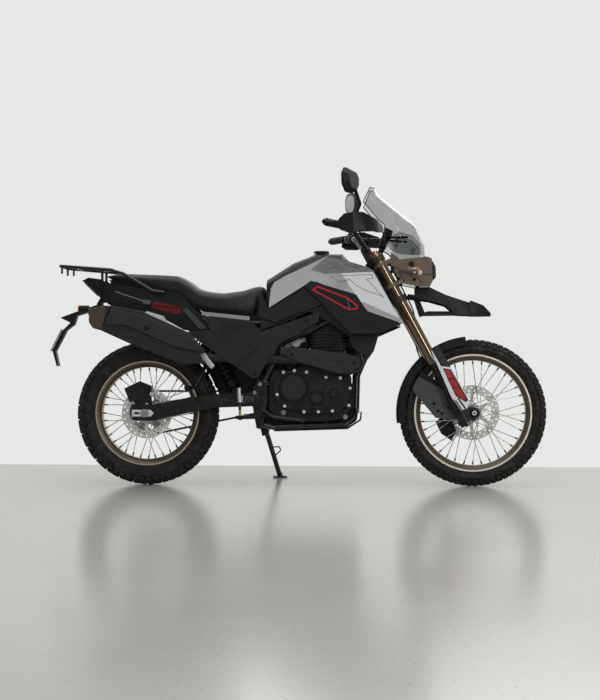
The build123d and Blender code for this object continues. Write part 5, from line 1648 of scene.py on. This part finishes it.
@dataclass
class Cockpit:
    """The display, the brake fluid's reservoir and the bar's end caps."""

    middle: tuple[float, float, float] = (1024.4, 0.0, 1081.4)
    facing: tuple[float, float, float] = (-0.939, 0.0, 0.344)
    glass_lift: float = 1.4
    mark_lift: float = 0.35
    dial_radius: float = 25.0
    dial_aside: float = -22.0
    bars_aside: float = 32.0
    bar_rows: tuple[float, ...] = (-16, -4, 8, 20)
    reservoir_place: tuple[float, float, float] = (884, -214, 1112.0)
    reservoir_across: tuple[float, float, float] = (1, 0.3, 0)
    reservoir_up: tuple[float, float, float] = (-0.3, 1, 0)
    reservoir_height: float = 26.0
    bar_end: tuple[float, float, float] = (784.5, -419.2, 1108.3)
    bar_way: tuple[float, float, float] = (-0.5, -0.85, 0)

    def display(self) -> None:
        """A dark glass with a ring of plain ticks and four plain bars."""
        middle, back, across = np.array(self.middle), np.array(self.facing), np.array(RIGHT, float)
        up = np.cross(back, across)
        glass = plaque(rounded_box(116, 70, 12), middle, across, up, -0.6, self.glass_lift, 1.5)
        add_shape("display_glass", glass, Dressing("fork", DISPLAY, "black_plastic"))
        face = middle + back * self.glass_lift
        angle = np.radians(np.arange(-210, 31, 15))
        tick, bar = rounded_box(2.2, 2.2, 1.0), rounded_box(34, 4, 1.5)
        spots = np.stack([self.dial_radius * np.cos(angle) + self.dial_aside, self.dial_radius * np.sin(angle)], axis=1)
        marks = [(tick, u, v) for u, v in spots] + [(bar, self.bars_aside, v) for v in self.bar_rows]
        printed = [plaque(mark, face + across * u + up * v, across, up, -0.2, self.mark_lift) for mark, u, v in marks]
        add_shape("display_marks", joined(printed), Dressing("fork", DIAL_WHITE, "black_plastic"))

    def build(self) -> None:
        """Builds the display, the reservoir with its lid and the bar's end caps."""
        self.display()
        foot = np.array(self.reservoir_place)
        top = foot + [0, 0, self.reservoir_height]
        level = (self.reservoir_across, self.reservoir_up)
        tank = plaque(rounded_box(46, 34, 8), foot, *level, 0, self.reservoir_height, 2)
        add_shape("reservoir", tank, Dressing("fork", BLACK_ALLOY, "black_plastic", bevel=1.0))
        lid = plaque(rounded_box(50, 38, 9), top, *level, 0, 4, 1)
        add_shape("reservoir_lid", lid, Dressing("fork", BLACK_STEEL, "black_plastic", bevel=0.6))
        cap = turned([(0, 3), (7, 3), (9, 0), (9, -1)], 24)
        ends = at_each(cap, [self.bar_end], AHEAD, self.bar_way).both_sides()
        add_shape("bar_end_caps", ends, Dressing("fork", BLACK_STEEL, "steel"))


@dataclass
class Lamps:
    """Twin headlamps with a light bar between them, amber indicators and a ribbed red tail lens."""

    panel_place: tuple[float, float, float] = (1250.4, 0, 934.0)
    bar_place: tuple[float, float, float] = (1252, 0, 934.0)
    panel_up: tuple[float, float, float] = (-0.05, 0, 1)
    lamp_way: tuple[float, float, float] = (1, 0, 0.05)
    lamp_places: tuple[tuple[float, float, float], ...] = ((1251.6, -35, 934), (1251.6, 35, 934))
    lens_radius: float = 22.5
    front_indicator: tuple[float, float, float] = (1178.2, -142, 928)
    rear_indicator: tuple[float, float, float] = (-290.2, -110, 765)
    indicator_radius: float = 13.6
    reflector: tuple[float, float, float] = (1164, -153.5, 928)
    stud: tuple[float, float, float] = (1164, -155.4, 928)
    tail_place: tuple[float, float, float] = (-252.4, 0, 856.4)
    tail_up: tuple[float, float, float] = (-78, 0, 74)

    def headlamps(self) -> None:
        """A gloss panel, two rims with their lenses and the light bar."""
        face = plaque(rounded_box(136, 66, 14), np.array(self.panel_place), LEFT, self.panel_up, -0.5, 1.6, 1.2)
        add_shape("headlamp_panel", face, Dressing("fork", GLOSS_PLASTIC, "lamp"))
        rim = turned([(22, 0), (22, 4), (24, 6), (27, 6), (29, 4), (29, 0)], 40)
        rims = at_each(rim, self.lamp_places, LEFT, self.lamp_way)
        add_shape("headlamp_rims", rims, Dressing("fork", BLACK_STEEL, "steel"))
        lens = at_each(dome(self.lens_radius, 6.5), self.lamp_places, LEFT, self.lamp_way)
        add_shape("headlamp_lenses", lens, Dressing("fork", CLEAR_LENS, "lamp"))
        bar = plaque(rounded_box(8, 46, 3.5), np.array(self.bar_place), LEFT, self.panel_up, -0.5, 3.0, 1.0)
        add_shape("light_bar", bar, Dressing("fork", CLEAR_LENS, "lamp"))

    def build(self) -> None:
        """Builds the headlamps, the pairs of round lenses and the tail's lens."""
        self.headlamps()
        cap = dome(self.indicator_radius, 5.0)
        pairs = (  # name, shape, place, x and z directions, body, finish, slot
            ("front_indicator_lenses", cap, self.front_indicator, LEFT, AHEAD, "fork", AMBER_LENS, "lamp"),
            ("side_reflectors", dome(11, 2.5), self.reflector, AHEAD, RIGHT, "fork", PLATE_WHITE, "lamp"),
            ("reflector_studs", bolt(3.6, 2.0), self.stud, AHEAD, RIGHT, "fork", BLACK_STEEL, "steel"),
            ("rear_indicator_lenses", cap, self.rear_indicator, LEFT, BEHIND, "frame", AMBER_LENS, "lamp"),
        )
        for name, shape, place, across, along, body, finish, slot in pairs:
            add_shape(name, at_each(shape, [place], across, along).both_sides(), Dressing(body, finish, slot))
        back = plaque(rounded_box(64, 84, 12), np.array(self.tail_place), RIGHT, self.tail_up, -0.6, 2.6, 1.6)
        add_shape("tail_lens", back, Dressing("frame", RED_LENS, "lamp"))


@dataclass
class ExhaustTrim:
    """The clamp round the header's joint and the hanger over the silencer."""

    clamp_span: tuple[float, float] = (-112.0, -160.0)
    hanger_span: tuple[float, float] = (-165.0, -169.0)

    def build(self) -> None:
        """Builds both from their side-view outlines."""
        clamp = slab([(238, 568), (264, 576), (308, 518), (292, 504)], *self.clamp_span)
        add_shape("exhaust_clamp", clamp, Dressing("frame", ALLOY, "silver_metal", bevel=4.0, bevel_steps=3))
        outline = [(4, 745), (17, 752), (88, 731), (103, 709), (158, 681), (186, 656), (166, 650), (87, 680), (7, 700)]
        hanger = slab(outline, *self.hanger_span)
        add_shape("silencer_hanger", hanger, Dressing("frame", ALLOY, "silver_metal", bevel=0.8))


@dataclass
class ScreenEdge:
    """A fine dark edging round the screen, along its rim at each height and over its round top."""

    rim: tuple[tuple[float, float, float], ...] = (  # x, height and half width
        (1036, 1046, 118), (1038, 1128, 124), (1017, 1143, 124), (945, 1230, 112), (960, 1264, 98), (974, 1297, 62),
    )
    inset: float = 2.0
    radius: float = 2.0
    bow: float = 20.0
    span: float = 66.0

    def build(self) -> None:
        """Builds one bar: up one side, over the top on the arc x = x0 + bow (cos t - cos T) / (1 - cos T), and down."""
        rim = np.array(self.rim, float)
        x_top, z_top, half = rim[-1]
        side = np.stack([rim[:, 0] - self.inset, -rim[:, 2] + self.inset, rim[:, 1]], axis=1)
        t = np.radians(np.linspace(-self.span, self.span, 13))[1:-1]
        foot = math.cos(t[0] * 1.1)
        across = half * np.sin(t) / math.sin(math.radians(self.span))
        arc = np.stack([x_top + self.bow * (np.cos(t) - foot) / (1 - foot), across, np.full(len(t), z_top)], axis=1)
        path = np.vstack([side, arc, side[::-1] * [1, -1, 1]])
        edging = pipe(path, self.radius, AHEAD, 8)
        add_shape("screen_edging", edging, Dressing("fork", BLACK_STEEL, "black_plastic"))


class Trim:
    """Plates, caps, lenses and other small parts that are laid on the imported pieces."""

    def build(self) -> None:
        """Builds every small part."""
        ArmsStarterAndShadeFill().build()
        TailLinings().build()
        for row in FASTENERS:
            row.build()
        for part in (AxleEnds(), ForkCaps(), Mirrors(), Cockpit(), Lamps(), ExhaustTrim(), ScreenEdge()):
            part.build()


# ---------------------------------------------------------------- brake hose
@dataclass
class BrakeHose:
    """The front brake's hose, from the lever's cylinder down the left fork leg to the caliper."""

    radius: float = 3.2
    length: float = 1.07
    bar_points: tuple[tuple[float, float, float], ...] = (
        (902, -222, 1100), (948, -200, 1080), (988, -158, 1042), (1028, -106, 1016), (1064, -50, 1000), (1082, 6, 960),
        (1096, 38, 904), (1120, 46, 852), (1149, 40, 802),
    )
    leg_points: tuple[tuple[float, float, float], ...] = (
        (-16, 44, 494), (-50, 53, 430), (-80, 65, 364), (-86, 71, 290), (-84, 70, 216), (-86, 71, 146), (-87, 72, 82),
        (-94, 69, 40), (-112, 59, 14),
    )

    def build(self) -> None:
        route = MACHINE.place(np.vstack([np.array(self.bar_points, float), fork_points(self.leg_points)]))
        line = bpy.data.curves.new("brake_hose_line", "CURVE")
        line.dimensions = "3D"
        spline = line.splines.new("NURBS")
        spline.points.add(len(route) - 1)
        spline.points.foreach_set("co", np.column_stack([route, np.ones(len(route))]).ravel())
        spline.order_u = 3
        spline.use_endpoint_u = True
        spline.resolution_u = 16
        line.bevel_depth = self.radius * MM
        line.bevel_resolution = 4
        line.use_fill_caps = True
        line.materials.append(RUBBER.material())
        hose = bpy.data.objects.new("brake_hose_line", line)
        bpy.context.scene.collection.objects.link(hose)
        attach(hose, "fork")
        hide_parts("brake_hose")
        2 * self.radius * MM


# ---------------------------------------------------------------- studio
WALL_WHITE = (0.80, 0.81, 0.79, 1.0)
ROOM_LIGHT = (0.96, 0.98, 1.0, 1.0)


@dataclass
class Studio:
    """Camera, lamps, world and floor."""

    camera_place: tuple[float, float, float] = (0.331, -6.469, 0.813)
    focal_pixels: float = 1467.9
    principal: tuple[float, float] = (296.2, 299.1)
    frame_size: tuple[float, float] = (600.0, 700.0)
    yaw: float = 3.0
    sensor: float = 36.0
    wall_y: float = 0.66
    room_strength: float = 0.42
    lift_share: float = 0.5
    wall_range: tuple[float, float] = (-0.25, 0.55)
    wall_blend: float = 0.004
    floor_drop: float = 0.0005
    speck_size: float = 16.0
    speck_range: tuple[float, float] = (0.66, 0.7)
    speck_share: float = 0.35
    floor_corners: tuple[tuple[float, float], ...] = ((-7.0, -7.5), (7.0, -7.5), (7.0, 6.0), (-7.0, 6.0))
    lamps: tuple[tuple, ...] = (  # name, place, aim, width and height in metres, watts
        ("overhead", (0.1, -0.4, 3.4), (0, 0, 0.6), (3.6, 2.4), 50.0),
        ("front_fill", (-1.2, -4.4, 2.4), (0, 0, 0.6), (3.0, 2.0), 24.0),
        ("back_edge", (0.8, 3.0, 2.4), (0, 0, 0.8), (3.0, 1.4), 26.0),
        ("side_panel", (2.5, -3.4, 1.9), (0.5, 0, 0.75), (0.6, 2.8), 50.0),
    )

    def camera(self) -> None:
        """Aims the camera so that the level line of sight falls on the principal point."""
        lens = bpy.data.cameras.new("camera")
        lens.sensor_width = self.sensor
        lens.lens = self.sensor * self.focal_pixels / max(self.frame_size)
        eye = bpy.data.objects.new("camera", lens)
        bpy.context.scene.collection.objects.link(eye)
        eye.location = self.camera_place
        turn = math.radians(self.yaw)
        ahead = Vector((-math.sin(turn), math.cos(turn), 0))
        right = Vector((math.cos(turn), math.sin(turn), 0))
        aside = (self.frame_size[0] / 2 - self.principal[0]) / self.focal_pixels
        below = (self.frame_size[1] / 2 - self.principal[1]) / self.focal_pixels
        sight = ahead + right * aside - Vector((0, 0, 1)) * below
        eye.rotation_euler = sight.to_track_quat("-Z", "Y").to_euler()
        bpy.context.scene.camera = eye

    def lamp(self, name: str, place: Sequence[float], aim: Sequence[float], size: Sequence[float],
             watts: float) -> None:
        """A soft rectangular lamp at place, pointing at aim.

        Args:
            name: The lamp's name.
            place: Where it stands, in metres.
            aim: The point that it faces.
            size: Its width and height.
            watts: Its power.
        """
        light = bpy.data.lights.new(name, "AREA")
        light.shape = "RECTANGLE"
        light.size, light.size_y = size
        light.energy = watts
        lamp = bpy.data.objects.new(name, light)
        bpy.context.scene.collection.objects.link(lamp)
        lamp.location = place
        lamp.rotation_euler = (Vector(aim) - Vector(place)).to_track_quat("-Z", "Y").to_euler()

    def world(self) -> None:
        """A near-white wall for the camera and for glass; metal sees it ahead and above, and a dimmer room behind.

        A reflected ray's share of the wall is a ramp on how far its direction points to +Y, plus half of how far up.
        """
        world = bpy.data.worlds.new("studio")
        bpy.context.scene.world = world
        world.use_nodes = True
        world.node_tree.nodes.clear()
        graph = Graph.over(world.node_tree)
        kinds = ("Camera", "Transmission", "Glossy")
        path = {kind: graph.node("ShaderNodeLightPath", {}, {}, f"Is {kind} Ray") for kind in kinds}
        way = graph.node("ShaderNodeTexCoord", {}, {}, "Generated")
        _, ahead, up = (graph.node("ShaderNodeSeparateXYZ", {}, {"Vector": way}, axis) for axis in "XYZ")
        wall = (ahead + up * self.lift_share).ramp(*self.wall_range)
        seen = graph.node("ShaderNodeBackground", {}, {"Color": WALL_WHITE, "Strength": 1.0})
        mirrored = graph.mixed(wall, srgb(104, 106, 110), srgb(232, 233, 230))
        reflected = graph.node("ShaderNodeBackground", {}, {"Color": mirrored, "Strength": 1.0})
        felt = graph.node("ShaderNodeBackground", {}, {"Color": ROOM_LIGHT, "Strength": self.room_strength})
        lit = graph.node("ShaderNodeMixShader", {}, {"Fac": path["Glossy"], 1: felt, 2: reflected})
        plain_sight = path["Camera"].larger(path["Transmission"])
        shown = graph.node("ShaderNodeMixShader", {}, {"Fac": plain_sight, 1: lit, 2: seen})
        graph.node("ShaderNodeOutputWorld", {}, {"Surface": shown}, None)

    def floor(self) -> None:
        """A plain pale floor just under the tyres, which the camera sees turn into the wall behind the machine."""
        mesh = bpy.data.meshes.new("floor")
        mesh.from_pydata([(x, y, -self.floor_drop) for x, y in self.floor_corners], [], [(0, 1, 2, 3)])
        floor = bpy.data.objects.new("floor", mesh)
        bpy.context.scene.collection.objects.link(floor)
        graph = Graph("pale_floor")
        tone = graph.noise(700.0, 3.0).ramp(0.2, 0.8)
        specks = graph.noise(self.speck_size, 2.0).ramp(*self.speck_range) * self.speck_share
        colour = graph.mixed(tone, srgb(181, 178, 173), srgb(193, 190, 186))
        colour = graph.mixed(specks, colour, srgb(128, 124, 118))
        graph.surface(Base_Color=colour, Roughness=0.2, Specular_IOR_Level=0.4)
        back = graph.node("ShaderNodeSeparateXYZ", {}, {"Vector": graph.place}, "Y")
        beyond = back.ramp(self.wall_y, self.wall_y + self.wall_blend)
        seen = graph.node("ShaderNodeLightPath", {}, {}, "Is Camera Ray") * beyond
        wall = graph.node("ShaderNodeEmission", {}, {"Color": WALL_WHITE, "Strength": 1.0})
        shown = graph.node("ShaderNodeMixShader", {}, {"Fac": seen, 1: Value(graph, graph.shader.outputs[0]), 2: wall})
        out = next(node for node in graph.tree.nodes if node.type == "OUTPUT_MATERIAL")
        graph.feed(out.inputs["Surface"], shown)
        mesh.materials.append(graph.material)

    def build(self) -> None:
        """Builds the whole studio."""
        bpy.context.scene.view_settings.view_transform = "Standard"
        self.camera()
        self.world()
        self.floor()
        for row in self.lamps:
            self.lamp(*row)
        LOG.info("studio built")


# ---------------------------------------------------------------- main
def main() -> None:
    """Builds the studio and every part of the machine."""
    logging.basicConfig(level=logging.INFO, format="%(name)s %(message)s")
    Studio().build()
    BrakeHose().build()
    record = frame["record"]
    slots = {part["node"]: part["material_slot"] for part in record["subparts"]}
    softener = Softener(record["behaviour"]["bodies"], slots)
    for node, (finish, width) in NODE_FINISHES.items():
        softener.build(node, finish, width)
    Tyre("front", "front_wheel", WHEELBASE, FRONT_R, width=92.0, rim_radius=255.0, rim_width=60.0, pitches=36,
         rubber=FRONT_TYRE).build()
    Tyre("rear", "rear_wheel", 0.0, REAR_R, width=112.0, rim_radius=229.0, rim_width=76.0, pitches=30,
         rubber=REAR_TYRE).build()
    DriveChain().build()
    Seat().build()
    Trim().build()


if __name__ == "__main__":
    main()
